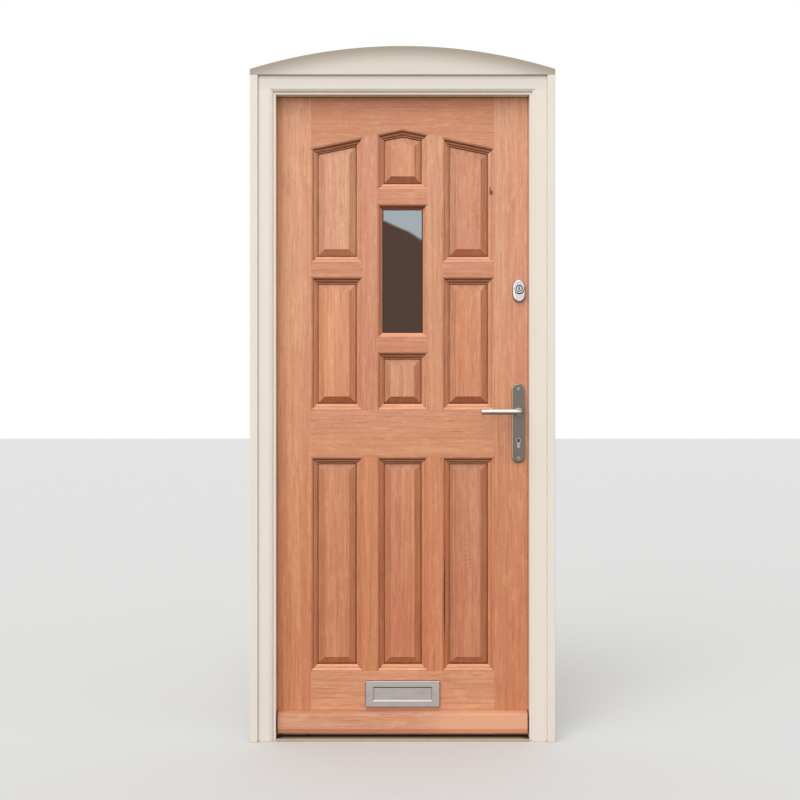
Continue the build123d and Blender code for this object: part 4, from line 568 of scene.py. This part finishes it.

# %% [markdown]
# The leaf's members come from different planks, so each has its own tone. A few carry what
# makes wood look found and not printed: a knot with its tail at the edge of the lock stile, a
# gum streak in a lower muntin, and the patch of the weatherboard that the sun has bleached.

# %% The members of the leaf
# Painted shade on the upward faces of the bevels and of the weatherboard, and painted shade under the
# weatherboard.
LEDGE_SHADE = (0.80, 0.755, 0.74, 1)
WEATHERBOARD_SHADE_BELOW = (0.84, 0.72, 0.62, 1)
KNOT = ((0.282, 0.006, 1.733), (0.0085, 0.03, 0.0105))
KNOT_TAIL = ((0.2795, 0.006, 1.744), (0.004, 0.03, 0.009))
GUM_STREAK = ((0.133, 0.006, 0.447), (0.004, 0.03, 0.16))
BLEACHED_PATCH = ((0.26, -0.02, 0.05), (0.24, 0.08, 0.08))
MEMBER_NUMBERS = (0.4, 1.7)
MEMBERS = {
    "hinge_stile": dict(tone=(1.07, 1.10, 1.09), strength=0.1, bands=0.6),
    "lock_stile": dict(tone=(1.04, 1.07, 1.09), strength=0.1, bands=0.5, marks=(KNOT, KNOT_TAIL)),
    "top_rail": dict(turn=LEVEL, tone=(0.97, 0.90, 0.83), strength=0.08, bands=0.3),
    "lock_rail": dict(turn=LEVEL, tone=(1.08, 1.14, 1.18), strength=0.08, bands=0.35),
    "bottom_rail": dict(turn=LEVEL, tone=(1.19, 1.4, 1.62), strength=0.1, bands=0.45),
    "side_cross_rails": dict(turn=LEVEL, tone=(1.0, 0.97, 0.99), strength=0.06, bands=0.2),
    "centre_cross_rails": dict(turn=LEVEL, tone=(1.0, 0.95, 0.95), strength=0.06, bands=0.2),
    "muntin_upper_left": dict(tone=(1.02, 0.99, 0.98), strength=0.06, bands=0.45),
    "muntin_upper_right": dict(tone=(1.05, 1.08, 1.08), strength=0.08, bands=0.5),
    "muntin_lower_left": dict(tone=(1.04, 1.02, 0.99), strength=0.06, bands=0.5),
    "muntin_lower_right": dict(tone=(1.06, 1.03, 0.99), strength=0.08, bands=0.6, marks=(GUM_STREAK,)),
    "weatherboard": dict(
        turn=LEVEL, tone=(1.2, 1.5, 1.92), strength=0.08, bands=0.4, above=LEDGE_SHADE,
        below=WEATHERBOARD_SHADE_BELOW, pale=(BLEACHED_PATCH,),
    ),
    "glazing_beads": dict(strength=0.06),
}

first, distance = MEMBER_NUMBERS
for count, (node, figure) in enumerate(MEMBERS.items()):
    dress(node, hardwood(node + "_timber", count * distance + first, **figure))
print(len(MEMBERS), "members dressed")

# %% [markdown]
# Most panels are cut near the outside of the log, so they show arches where the members round
# them show bands. The painted shade on the undersides of their bevels is lighter than under a
# moulding, and lightest in the lowest row. Their bevels that look up get painted shade as well.

# %% The panels
# Painted shade on the panels' bevels: below, above and to each side.
BEVEL_SHADING = dict(
    above=LEDGE_SHADE, below=(0.58, 0.435, 0.33, 1),
    sides=((0.80, 0.715, 0.62, 1), (0.85, 0.78, 0.71, 1)),
)
HIGH_BEVEL_SHADE = (0.74, 0.60, 0.50, 1)
LOW_BEVEL_SHADE = (0.86, 0.74, 0.62, 1)
PANEL_NUMBERS = (31.0, 2.3)
PANELS = {
    "upper_left": dict(tone=(1.06, 1.11, 1.12), arch=70.0, rings=260.0, strength=0.12, below=HIGH_BEVEL_SHADE),
    "upper_centre": dict(tone=(1.01, 0.93, 0.88), rings=330.0, strength=0.08),
    "upper_right": dict(tone=(0.95, 0.87, 0.88), arch=55.0, rings=240.0, strength=0.12, below=HIGH_BEVEL_SHADE),
    "middle_left": dict(tone=(1.1, 1.08, 1.0), arch=60.0, rings=85.0, strength=0.06),
    "middle_centre": dict(rings=300.0, strength=0.1),
    "middle_right": dict(tone=(1.03, 0.98, 0.94), arch=90.0, rings=90.0, strength=0.06),
    "lower_left": dict(tone=(1.04, 1.07, 1.1), arch=60.0, rings=430.0, strength=0.2, below=LOW_BEVEL_SHADE),
    "lower_centre": dict(tone=(1.02, 1.0, 1.0), arch=62.0, rings=500.0, strength=0.2, below=LOW_BEVEL_SHADE),
    "lower_right": dict(tone=(0.96, 0.95, 1.0), arch=48.0, rings=460.0, strength=0.17, below=LOW_BEVEL_SHADE),
}

first, distance = PANEL_NUMBERS
for count, (place, figure) in enumerate(PANELS.items()):
    node = "panel_" + place
    finish = {**BEVEL_SHADING, **figure}
    dress(node, hardwood(node + "_timber", count * distance + first, middle=middle_of(node), **finish))
print(len(PANELS), "panels dressed")

# %% [markdown]
# The frame is painted joinery. Brushed paint is never quite flat: the bristles leave fine
# ridges along each piece, and soft clouds of dirt settle on it. Both come from stretched noise.

# %% Node group for brushed paint
CREAM = (0.88, 0.82, 0.735, 1)
CREAM_SHADE = (0.74, 0.67, 0.56, 1)
BRUSH_RIDGES = dict(size=(420, 420, 7), detail=3.0)
DIRT_CLOUDS = dict(size=(6, 6, 3), detail=4.0)
CLOUD_SHARE = (0.48, 0.78, 0.0, 0.3)
PAINT_GLOSS = (0.2, 0.8, 0.38, 0.52)

paint, given, result = new_group(
    "brushed_paint",
    {"Vector": ("vector", None), "Paint": ("colour", CREAM), "Grime": ("colour", CREAM_SHADE)},
    {"Color": "colour", "Roughness": "value", "Height": "value"},
)
ridges = noise(paint, given["Vector"], **BRUSH_RIDGES)
clouds = spread(paint, noise(paint, given["Vector"], **DIRT_CLOUDS), *CLOUD_SHARE)
paint.links.new(blend_colour(paint, clouds, given["Paint"], given["Grime"]), result["Color"])
paint.links.new(spread(paint, ridges, *PAINT_GLOSS), result["Roughness"])
paint.links.new(ridges, result["Height"])
print("paint group ready")

# %% [markdown]
# The creams of the head of the frame and of the arched board above it are a little darker than
# the jambs', and the arched board's is darkened as painted shade. A painted shadow lies in a band
# under the board's curved edge. The distance from the centre of that curve gives the band, and
# three points of the arch give the centre: the board's two ends and its crown.

# %% Painted frame
# The arched board's cream is darkened as painted shade.
ARCH_SHADED_CREAM = (0.79, 0.73, 0.66, 1)
HEAD_CREAM = (0.82, 0.772, 0.70, 1)
ARCH_RISE = 0.072
ARCH_SHADOW = (0.42, 0.36, 0.28, 1)
ARCH_SHADOW_REACH = 0.075
ARCH_SHADOW_FADE = 1.5
PAINT_SPECULAR = 0.4
PAINT_DEPTH = 0.0004
PAINT_STRENGTH = 0.4
# Painted shade in the corners of the paint.
PAINT_SHADING = {"Corner shade": (0.62, 0.54, 0.42, 1), "Reach": 0.008, "Open": 0.8, "Closed": 0.35}

arch_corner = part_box("arch_board")[1]
arch_radius = (arch_corner.x ** 2 + ARCH_RISE ** 2) / (2 * ARCH_RISE)
arch_centre = arch_corner.z - arch_radius


def shadow_under_arch(tree, plain):
    """The share of painted shadow, which grows towards the arched board's curved edge."""
    place = split(tree, plain)
    rise = calculate(tree, "SUBTRACT", place["Z"], arch_centre)
    squares = [calculate(tree, "MULTIPLY", side, side) for side in (place["X"], rise)]
    from_centre = calculate(tree, "SQRT", calculate(tree, "ADD", *squares))
    near_edge = spread(tree, from_centre, arch_radius - ARCH_SHADOW_REACH, arch_radius)
    return calculate(tree, "POWER", near_edge, ARCH_SHADOW_FADE)


def painted(name, turn=UPRIGHT, colour=CREAM, arched=False):
    """Cream paint whose brush marks run along the piece."""
    material, tree, shader = base_material(name)
    plain, vector = grain_vector(tree, turn)
    coat = use_group(tree, paint, {"Vector": vector, "Paint": colour})
    shown = coat["Color"]
    if arched:
        # Painted shadow in a band under the arched board's curved edge.
        shown = blend_colour(tree, shadow_under_arch(tree, plain), shown, ARCH_SHADOW)
    shaded = use_group(tree, painted_light_group, {**PAINT_SHADING, "Color": shown})
    tree.links.new(shaded["Color"], shader.inputs["Base Color"])
    tree.links.new(coat["Roughness"], shader.inputs["Roughness"])
    shader.inputs["Specular IOR Level"].default_value = PAINT_SPECULAR
    add_relief(tree, shader, coat["Height"], PAINT_DEPTH, PAINT_STRENGTH)
    return material


upright_paint = painted("cream_paint_upright")
for node in ("jamb_hinge_side", "jamb_lock_side", "cover_strips"):
    dress(node, upright_paint)
dress("frame_head", painted("cream_paint_level", LEVEL, HEAD_CREAM))
dress("arch_board", painted("cream_paint_arch", LEVEL, ARCH_SHADED_CREAM, arched=True))
print("frame painted, the arch's radius is", arch_radius)

# %% [markdown]
# The metalwork has three finishes: satin steel that was brushed along its length, cast
# aluminium that was rubbed down and lacquered, and polished chrome. They share one group,
# which draws fine lines along one direction and a few soft smudges from hands. Where a plate's
# face turns into its edge, a painted highlight makes it brighter.

# %% Node group for worked metal
METAL_LINES = dict(size=(2600, 2600, 45), detail=2.0)
HAND_SMUDGES = dict(size=(38, 38, 25), detail=5.0)
SMUDGE_SHARE = (0.45, 0.75, 0.0, 0.35)
LINE_SHARE = (0.4, 0.7, 0.0, 0.25)
BEVEL_HIGHLIGHT_RANGE = (0.97, 0.8)

metal, given, result = new_group(
    "worked_metal",
    {
        "Vector": ("vector", None),
        "Metal": ("colour", (0.5, 0.48, 0.46, 1)),
        "Smudge": ("colour", (0.3, 0.28, 0.26, 1)),
        "Edge": ("colour", (0.6, 0.58, 0.55, 1)),
        "Edge share": ("value", 0.0),
        "Smooth": ("value", 0.3),
        "Coarse": ("value", 0.4),
    },
    {"Color": "colour", "Roughness": "value", "Height": "value"},
)
lines = noise(metal, given["Vector"], **METAL_LINES)
touched = spread(metal, noise(metal, given["Vector"], **HAND_SMUDGES), *SMUDGE_SHARE)
finish = blend_colour(metal, touched, given["Metal"], given["Smudge"])
finish = blend_colour(metal, spread(metal, lines, *LINE_SHARE), finish, given["Smudge"])
# Painted highlight where a face turns into its edge.
facing = split(metal, add_node(metal, "NewGeometry").outputs["Normal"])
turning = spread(metal, calculate(metal, "ABSOLUTE", facing["Y"]), *BEVEL_HIGHLIGHT_RANGE)
edge_highlight = calculate(metal, "MULTIPLY", turning, given["Edge share"])
metal.links.new(blend_colour(metal, edge_highlight, finish, given["Edge"]), result["Color"])
gloss = add_node(metal, "MapRange", {"Value": lines, "To Min": given["Smooth"], "To Max": given["Coarse"]})
metal.links.new(gloss.outputs["Result"], result["Roughness"])
metal.links.new(lines, result["Height"])
print("metal group with", len(metal.nodes), "nodes")

# %% [markdown]
# Metal shows what is around it, and a studio is white all round, so the finish also darkens
# the faces that look down as a painted reflection of the ground, and darkens the corners as
# painted shade. The plug of the upper lock has a keyway, which at this size is a small dark mark
# of painted shade in its middle.

# %% Metal finishes
# Painted reflection of the ground on the faces that look down.
GROUND_MIRRORED = (0.30, 0.24, 0.19, 1)
METAL_GROOVE_REACH = 0.005
METAL_STRENGTH = 0.3
LINE_DEPTH = 0.00004
# Painted shade in the mouth of the keyway: its size and its dark colour.
KEYWAY_HALF_SIZES = (0.0031, 0.5, 0.0084)
KEYWAY_SHADE = (0.03, 0.022, 0.028, 1)
# Painted shade in the corners, and the painted reflection of the ground below.
METAL_SHADING = {"Corner shade": (0.05, 0.042, 0.04, 1), "Open": 0.7, "Closed": 0.3, "Below": GROUND_MIRRORED}


def metalwork(name, colour, smudge, smooth, coarse, turn=UPRIGHT, metallic=1.0, low_from=-0.05,
              low_full=-0.75, edges=None, reach=METAL_GROOVE_REACH, keyway=None):
    """A metal finish, its lines along the turned direction, with a painted reflection of the ground where
    it faces down.
    """
    material, tree, shader = base_material(name)
    plain, vector = grain_vector(tree, turn)
    # A finish given bevel colours gets the painted highlight on its edges.
    coat = use_group(tree, metal, {
        "Vector": vector, "Metal": colour, "Smudge": smudge, "Smooth": smooth, "Coarse": coarse,
        "Edge": edges or colour, "Edge share": 1.0 if edges else 0.0,
    })
    shown = coat["Color"]
    if keyway:
        mouth = use_group(tree, mark_group, {
            "Vector": plain, "Centre": keyway, "Half sizes": KEYWAY_HALF_SIZES, "Ragged": 0.0,
        })
        shown = blend_colour(tree, mouth["Mask"], shown, KEYWAY_SHADE)
    shaded = use_group(tree, painted_light_group, {
        **METAL_SHADING, "Color": shown, "Reach": reach, "Below starts": low_from, "Below full": low_full,
    })
    shader.inputs["Metallic"].default_value = metallic
    tree.links.new(shaded["Color"], shader.inputs["Base Color"])
    tree.links.new(coat["Roughness"], shader.inputs["Roughness"])
    add_relief(tree, shader, coat["Height"], LINE_DEPTH, METAL_STRENGTH)
    return material


print("metal finish ready")

# %% [markdown]
# The long plates are a dark satin steel beside the bright lever, the letter plate is silver
# lacquer, and the upper lock is chrome round a sleeve made dark as painted shade. The lower
# lock's plug is made dark as painted shade too. The threshold is a bronzed tread that feet have
# dulled, so it is hardly a mirror, and a wider reach gives its grooves more painted shade.

# %% The finish of each fitting
STEEL = (0.205, 0.182, 0.152, 1)
STEEL_DARK = (0.125, 0.108, 0.09, 1)
STEEL_BEVEL_HIGHLIGHT = (0.62, 0.59, 0.53, 1)
SCREW_STEEL = (0.42, 0.40, 0.37, 1)
BRIGHT_STEEL = (0.60, 0.58, 0.55, 1)
SATIN_STEEL = (0.80, 0.77, 0.72, 1)
SILVER = (0.545, 0.505, 0.485, 1)
SILVER_DARK = (0.40, 0.37, 0.365, 1)
SILVER_EDGE_HIGHLIGHT = (0.50, 0.47, 0.44, 1)
CHROME = (0.71, 0.695, 0.715, 1)
CHROME_DARK = (0.52, 0.52, 0.53, 1)
NICKEL = (0.50, 0.47, 0.41, 1)
# Painted shade: the lower lock's plug and the upper lock's sleeve are made dark to stand for shade.
PLUG_SHADE = (0.16, 0.145, 0.12, 1)
SLEEVE_SHADE = (0.055, 0.052, 0.056, 1)
TREAD = (0.60, 0.48, 0.34, 1)
TREAD_DARK = (0.40, 0.30, 0.20, 1)
# A wider reach of painted shade in the tread's grooves.
TREAD_GROOVE_REACH = 0.03

plate_steel = metalwork("plate_steel", STEEL, STEEL_DARK, 0.30, 0.42, edges=STEEL_BEVEL_HIGHLIGHT)
lever_steel = metalwork(
    "lever_steel", SATIN_STEEL, BRIGHT_STEEL, 0.22, 0.34, LEVEL, low_from=0.15, low_full=-0.5
)
lock_steel = metalwork("lock_steel", BRIGHT_STEEL, STEEL, 0.28, 0.4)
screw_steel = metalwork("screw_steel", SCREW_STEEL, STEEL_DARK, 0.3, 0.45)
letter_silver = metalwork("letter_silver", SILVER, SILVER_DARK, 0.30, 0.42, LEVEL, edges=SILVER_EDGE_HIGHLIGHT)
polished = metalwork("polished_chrome", CHROME, CHROME_DARK, 0.06, 0.12)
plug_chrome = metalwork("plug_chrome", CHROME, CHROME_DARK, 0.1, 0.2, keyway=middle_of("rim_plug"))
cylinder_metal = metalwork("cylinder_metal", NICKEL, STEEL, 0.24, 0.36)
shaded_plug_metal = metalwork("shaded_plug_metal", PLUG_SHADE, STEEL_DARK, 0.24, 0.36)
shaded_sleeve_metal = metalwork("shaded_sleeve_metal", SLEEVE_SHADE, STEEL_DARK, 0.3, 0.4)
tread_metal = metalwork(
    "tread_metal", TREAD, TREAD_DARK, 0.4, 0.55, LEVEL, metallic=0.35, reach=TREAD_GROOVE_REACH
)
print("tread, plates, locks and screws have their finishes")

# %% [markdown]
# Pieces that were made together share a finish, so each finish has the list of its fittings.

# %% Dress the fittings
METAL_NODES = {
    plate_steel: ("backplate_outside", "backplate_inside"),
    lever_steel: ("lever_outside", "lever_inside"),
    lock_steel: (
        "lever_spindle", "lock_case", "latch_bolt", "deadbolt", "strike_plate", "night_latch_bolt",
        "hinge_frame_plates", "hinge_leaf_plates", "hinge_pins", "frame_screws", "leaf_screws",
    ),
    screw_steel: ("through_bolts",),
    letter_silver: (
        "letter_plate_outside", "letter_plate_inside", "letter_flap", "inner_flap", "glass_spacer",
    ),
    polished: (
        "cylinder_pull", "night_latch_case", "night_latch_keep", "night_latch_knob", "thumbturn",
    ),
    plug_chrome: ("rim_plug",),
    cylinder_metal: ("cylinder_body",),
    shaded_plug_metal: ("key_plug",),
    shaded_sleeve_metal: ("rim_cylinder",),
    tread_metal: ("threshold",),
}

for material, fittings in METAL_NODES.items():
    for node in fittings:
        dress(node, material)
print(sum(len(fittings) for fittings in METAL_NODES.values()), "metal nodes dressed")

# %% [markdown]
# The seal is soft black rubber with a dusty bloom, which is noise in its colour and its gloss.

# %% Rubber seal
RUBBER_BLACK = (0.012, 0.012, 0.012, 1)
RUBBER_DUST = (0.05, 0.045, 0.04, 1)
RUBBER_BLOOM = dict(size=(60, 60, 60), detail=4.0)
BLOOM_EDGE = (0.45, 0.8)
RUBBER_GLOSS = (0.3, 0.8, 0.6, 0.85)

rubber, tree, shader = base_material("seal_rubber")
bloom = noise(tree, grain_vector(tree, UPRIGHT)[1], **RUBBER_BLOOM)
dusty = blend_colour(tree, spread(tree, bloom, *BLOOM_EDGE), RUBBER_BLACK, RUBBER_DUST)
tree.links.new(dusty, shader.inputs["Base Color"])
tree.links.new(spread(tree, bloom, *RUBBER_GLOSS), shader.inputs["Roughness"])
dress("weather_seal", rubber)
print("seal dressed")

# %% [markdown]
# The window is clear glass, but it is dim indoors, so by day it looks dark and brown, and only
# its top corner is pale with the sky's reflection. The panes are tinted to paint both: a dark
# brown that stands in for the shade of the hall, and a painted sky reflection in the top corner,
# without putting anything behind the door. What is seen through both is tinted twice, so each
# pane needs only the square root of the colour. A painted dark line of shade runs down both
# sides of the sight, where the glass meets its beads.

# %% Window glass
HALL_SHADE_TINT = (0.205, 0.096, 0.006, 1)
SKY_REFLECTION_TINT = (0.585, 0.625, 0.655, 1)
SKY_EDGE_HEIGHT = 1.628
SKY_EDGE_WIDTH = 0.014
SKY_EDGE_FALL = 0.55
SKY_EDGE_WAVER = 0.04
SIGHT_HALF_WIDTH = 0.0622
SIGHT_LINE = 0.0016
SIGHT_SHADOW = (0.03, 0.025, 0.02, 1)
GLASS_RIPPLE = dict(size=(9, 9, 9), detail=1.0)
GLASS_ROUGHNESS = 0.02
GLASS_SPECULAR = 0.1
GLASS_DEPTH = 0.001
GLASS_STRENGTH = 0.25

glass, tree, shader = base_material("window_glass")
vector = grain_vector(tree, UPRIGHT)[1]
ripple = noise(tree, vector, **GLASS_RIPPLE)
place = split(tree, vector)
edge_height = calculate(tree, "MULTIPLY_ADD", place["X"], SKY_EDGE_FALL, place["Z"])
edge_height = calculate(tree, "MULTIPLY_ADD", ripple, SKY_EDGE_WAVER, edge_height)
sky_reflection_share = spread(tree, edge_height, SKY_EDGE_HEIGHT, SKY_EDGE_HEIGHT + SKY_EDGE_WIDTH)
# Painted reflection of the sky in the top corner, over painted shade of the dim hall.
tinted = blend_colour(tree, sky_reflection_share, HALL_SHADE_TINT, SKY_REFLECTION_TINT)
sideways = calculate(tree, "ABSOLUTE", place["X"])
# Painted shade along both sides of the sight.
sight_shadow = spread(tree, sideways, SIGHT_HALF_WIDTH - SIGHT_LINE, SIGHT_HALF_WIDTH)
tree.links.new(blend_colour(tree, sight_shadow, tinted, SIGHT_SHADOW), shader.inputs["Base Color"])
shader.inputs["Roughness"].default_value = GLASS_ROUGHNESS
shader.inputs["Specular IOR Level"].default_value = GLASS_SPECULAR
shader.inputs["Transmission Weight"].default_value = 1.0
add_relief(tree, shader, ripple, GLASS_DEPTH, GLASS_STRENGTH)
dress("glass_panes", glass)
print("glass dressed")

# %% [markdown]
# The finger pull round the upper lock is a small casting: an oval that is thin at the top and
# grows out to a rounded lip at the bottom, with a deep crescent slot behind the lip for the
# fingertips. Four helpers do by script what hands would do: add a round bar, make one object
# the only one selected, pick some of its parts, and cut one shape out of another.

# %% Tools for shaping by hand
TOUCHING = 0.0001


def choose(piece):
    """Makes a piece the only one selected, and the active one."""
    bpy.ops.object.select_all(action="DESELECT")
    piece.select_set(True)
    bpy.context.view_layer.objects.active = piece


def add_drum(name, radius, front, back, x, z, sides=64):
    """A round bar with its axis across the door, from its front to its back."""
    bpy.ops.object.select_all(action="DESELECT")
    bpy.ops.mesh.primitive_cylinder_add(
        vertices=sides, radius=radius, depth=back - front,
        location=(x, (front + back) / 2, z), rotation=(math.radians(90), 0, 0),
    )
    drum = bpy.context.object
    drum.name = name
    bpy.ops.object.transform_apply(location=True, rotation=True, scale=True)
    return drum


def pick(piece, kind, test):
    """Selects the piece's vertices, edges or faces that pass a test, in edit mode."""
    bpy.ops.object.mode_set(mode="EDIT")
    bpy.ops.mesh.select_mode(type=kind)
    bpy.ops.mesh.select_all(action="DESELECT")
    mesh = bmesh.from_edit_mesh(piece.data)
    parts = {"VERT": mesh.verts, "EDGE": mesh.edges, "FACE": mesh.faces}[kind]
    for part in parts:
        if test(part):
            part.select_set(True)
    bmesh.update_edit_mesh(piece.data)


def cut_away(piece, cutter):
    """Takes the cutter's shape out of the piece, and the cutter out of the scene."""
    choose(piece)
    cut = piece.modifiers.new("cut", "BOOLEAN")
    cut.object = cutter
    cut.solver = "EXACT"
    bpy.ops.object.modifier_apply(modifier=cut.name)
    bpy.data.objects.remove(cutter)


print("shaping tools ready")

# %% [markdown]
# A round bar becomes the oval when its upper and lower halves are drawn apart. Its front is
# then leaned forward until the lip stands out at the bottom, and its rim is rounded.

# %% The pull's oval
PULL_HALF_WIDTH = 0.0195
PULL_HALF_HEIGHT = 0.03575
PULL_STRETCH = 1.3
PULL_LEAN = 0.009
PULL_ROUND = 0.0042
PULL_ROUND_STEPS = 6
FACES_OUT = -0.9

pull_low, pull_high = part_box("cylinder_pull")
pull_x = (pull_low.x + pull_high.x) / 2
pull_z = (pull_low.z + pull_high.z) / 2
pull_front = pull_low.y + PULL_LEAN
pull = add_drum("finger_pull", PULL_HALF_WIDTH, pull_front, pull_high.y, pull_x, pull_z)
bpy.ops.object.mode_set(mode="EDIT")
bpy.ops.mesh.select_all(action="SELECT")
bpy.ops.transform.resize(value=(1, 1, PULL_STRETCH), center_override=(pull_x, 0, pull_z))
for side in (1, -1):
    pick(pull, "VERT", lambda v: (v.co.z - pull_z) * side > TOUCHING)
    bpy.ops.transform.translate(value=(0, 0, side * (PULL_HALF_HEIGHT - PULL_STRETCH * PULL_HALF_WIDTH)))
pick(pull, "VERT", lambda v: v.co.y < pull_front + TOUCHING)
lean = math.atan(PULL_LEAN / (2 * PULL_HALF_HEIGHT))
bpy.ops.transform.rotate(value=lean, orient_axis="X", center_override=(pull_x, pull_front, pull_high.z))
pick(pull, "FACE", lambda f: f.normal.y < FACES_OUT)
bpy.ops.mesh.region_to_loop()
bpy.ops.mesh.bevel(offset=PULL_ROUND, segments=PULL_ROUND_STEPS, affect="EDGES")
bpy.ops.object.mode_set(mode="OBJECT")
print("oval from", min(v.co.y for v in pull.data.vertices), "to", max(v.co.y for v in pull.data.vertices))

# %% [markdown]
# The slot is a crescent: a round bar from which a smaller one has been cut, the crown round
# the lock. Cut into the pull, it leaves the lip below and the crown above. The lock's plug
# then gets its hole.

# %% The pull's slot and hole
CROWN_RADIUS = 0.0148
SLOT_RADIUS = 0.0163
SLOT_DROP = 0.0026
SLOT_FLOOR = 0.0015
LOCK_HOLE_RADIUS = 0.01125
CUTTER_FRONT = -0.03
CROWN_FRONT = -0.04
CUTTER_BACK = 0.02
SMOOTH_ANGLE = 35

lock_z = middle_of("rim_plug").z
slot = add_drum("slot", SLOT_RADIUS, CUTTER_FRONT, SLOT_FLOOR, pull_x, lock_z - SLOT_DROP)
crown = add_drum("crown", CROWN_RADIUS, CROWN_FRONT, CUTTER_BACK, pull_x, lock_z)
cut_away(slot, crown)
cut_away(pull, slot)
cut_away(pull, add_drum("lock_hole", LOCK_HOLE_RADIUS, CUTTER_FRONT, CUTTER_BACK, pull_x, lock_z))
bpy.ops.object.shade_smooth_by_angle(angle=math.radians(SMOOTH_ANGLE))
print("pull with", len(pull.data.polygons), "faces")

# %% [markdown]
# The slot's walls and its floor get the dark finish of the lock's sleeve, as painted shade inside
# the slot. The walls are found by their distance from the two centres, and the floor by its depth.

# %% The pull's finish
FLOOR_TOLERANCE = 0.0002
WALL_BACK = 0.001

pull.data.materials.clear()
pull.data.materials.append(polished)
pull.data.materials.append(shaded_sleeve_metal)
for face in pull.data.polygons:
    from_slot = math.hypot(face.center.x - pull_x, face.center.z - lock_z + SLOT_DROP)
    from_lock = math.hypot(face.center.x - pull_x, face.center.z - lock_z)
    in_crescent = from_slot < SLOT_RADIUS + TOUCHING and from_lock > CROWN_RADIUS - TOUCHING
    is_wall = face.normal.y > FACES_OUT and face.center.y < pull_high.y - WALL_BACK
    is_floor = abs(face.center.y - SLOT_FLOOR) < FLOOR_TOLERANCE
    if is_floor or (in_crescent and is_wall):
        face.material_index = 1
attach(pull, "leaf")
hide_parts("cylinder_pull")
print(sum(face.material_index for face in pull.data.polygons), "faces in the slot")

# %% [markdown]
# A bolt head reads as a bolt head once it has a driver slot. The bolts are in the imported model,
# which mustn't change, so a copy of their mesh is merged, slotted with booleans and shown
# instead. No two heads on a real door stop at the same angle, so each slot has its own.

# %% Driver slots in the bolt heads
DRIVER_SLOT = (0.0074, 0.0022, 0.0013)
SAME_POINT = 0.000005
PLATE_BOLT_X = 0.3675
OUTSIDE_HEAD = -0.0045
INSIDE_HEAD = 0.0555
LETTER_BOLT_X = 0.109
LETTER_HEAD = 0.0525
LETTER_BOLT_HEIGHT = 0.140
LOW_BOLT, HIGH_BOLT = 0.8895, 1.1095
SLOT_TURNS = {
    (PLATE_BOLT_X, OUTSIDE_HEAD, LOW_BOLT): 20,
    (PLATE_BOLT_X, OUTSIDE_HEAD, HIGH_BOLT): -35,
    (PLATE_BOLT_X, INSIDE_HEAD, LOW_BOLT): 65,
    (PLATE_BOLT_X, INSIDE_HEAD, HIGH_BOLT): 10,
    (-LETTER_BOLT_X, LETTER_HEAD, LETTER_BOLT_HEIGHT): -15,
    (LETTER_BOLT_X, LETTER_HEAD, LETTER_BOLT_HEIGHT): 50,
}

bolts = bpy.data.objects.new("slotted_bolts", nodes["through_bolts"].data.copy())
bpy.context.scene.collection.objects.link(bolts)
choose(bolts)
pick(bolts, "VERT", lambda v: True)
bpy.ops.mesh.remove_doubles(threshold=SAME_POINT)
bpy.ops.object.mode_set(mode="OBJECT")
for place, turn in SLOT_TURNS.items():
    bpy.ops.object.select_all(action="DESELECT")
    bpy.ops.mesh.primitive_cube_add(
        size=1, location=place, rotation=(0, math.radians(turn), 0), scale=DRIVER_SLOT
    )
    cut_away(bolts, bpy.context.object)
bolts.data.materials.clear()
bolts.data.materials.append(screw_steel)
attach(bolts, "leaf")
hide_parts("through_bolts")
print(len(SLOT_TURNS), "slots in", len(bolts.data.polygons), "faces")

# %% [markdown]
# The last step sets the scene's view transform to Standard.

# %% Finish
bpy.context.scene.view_settings.view_transform = "Standard"
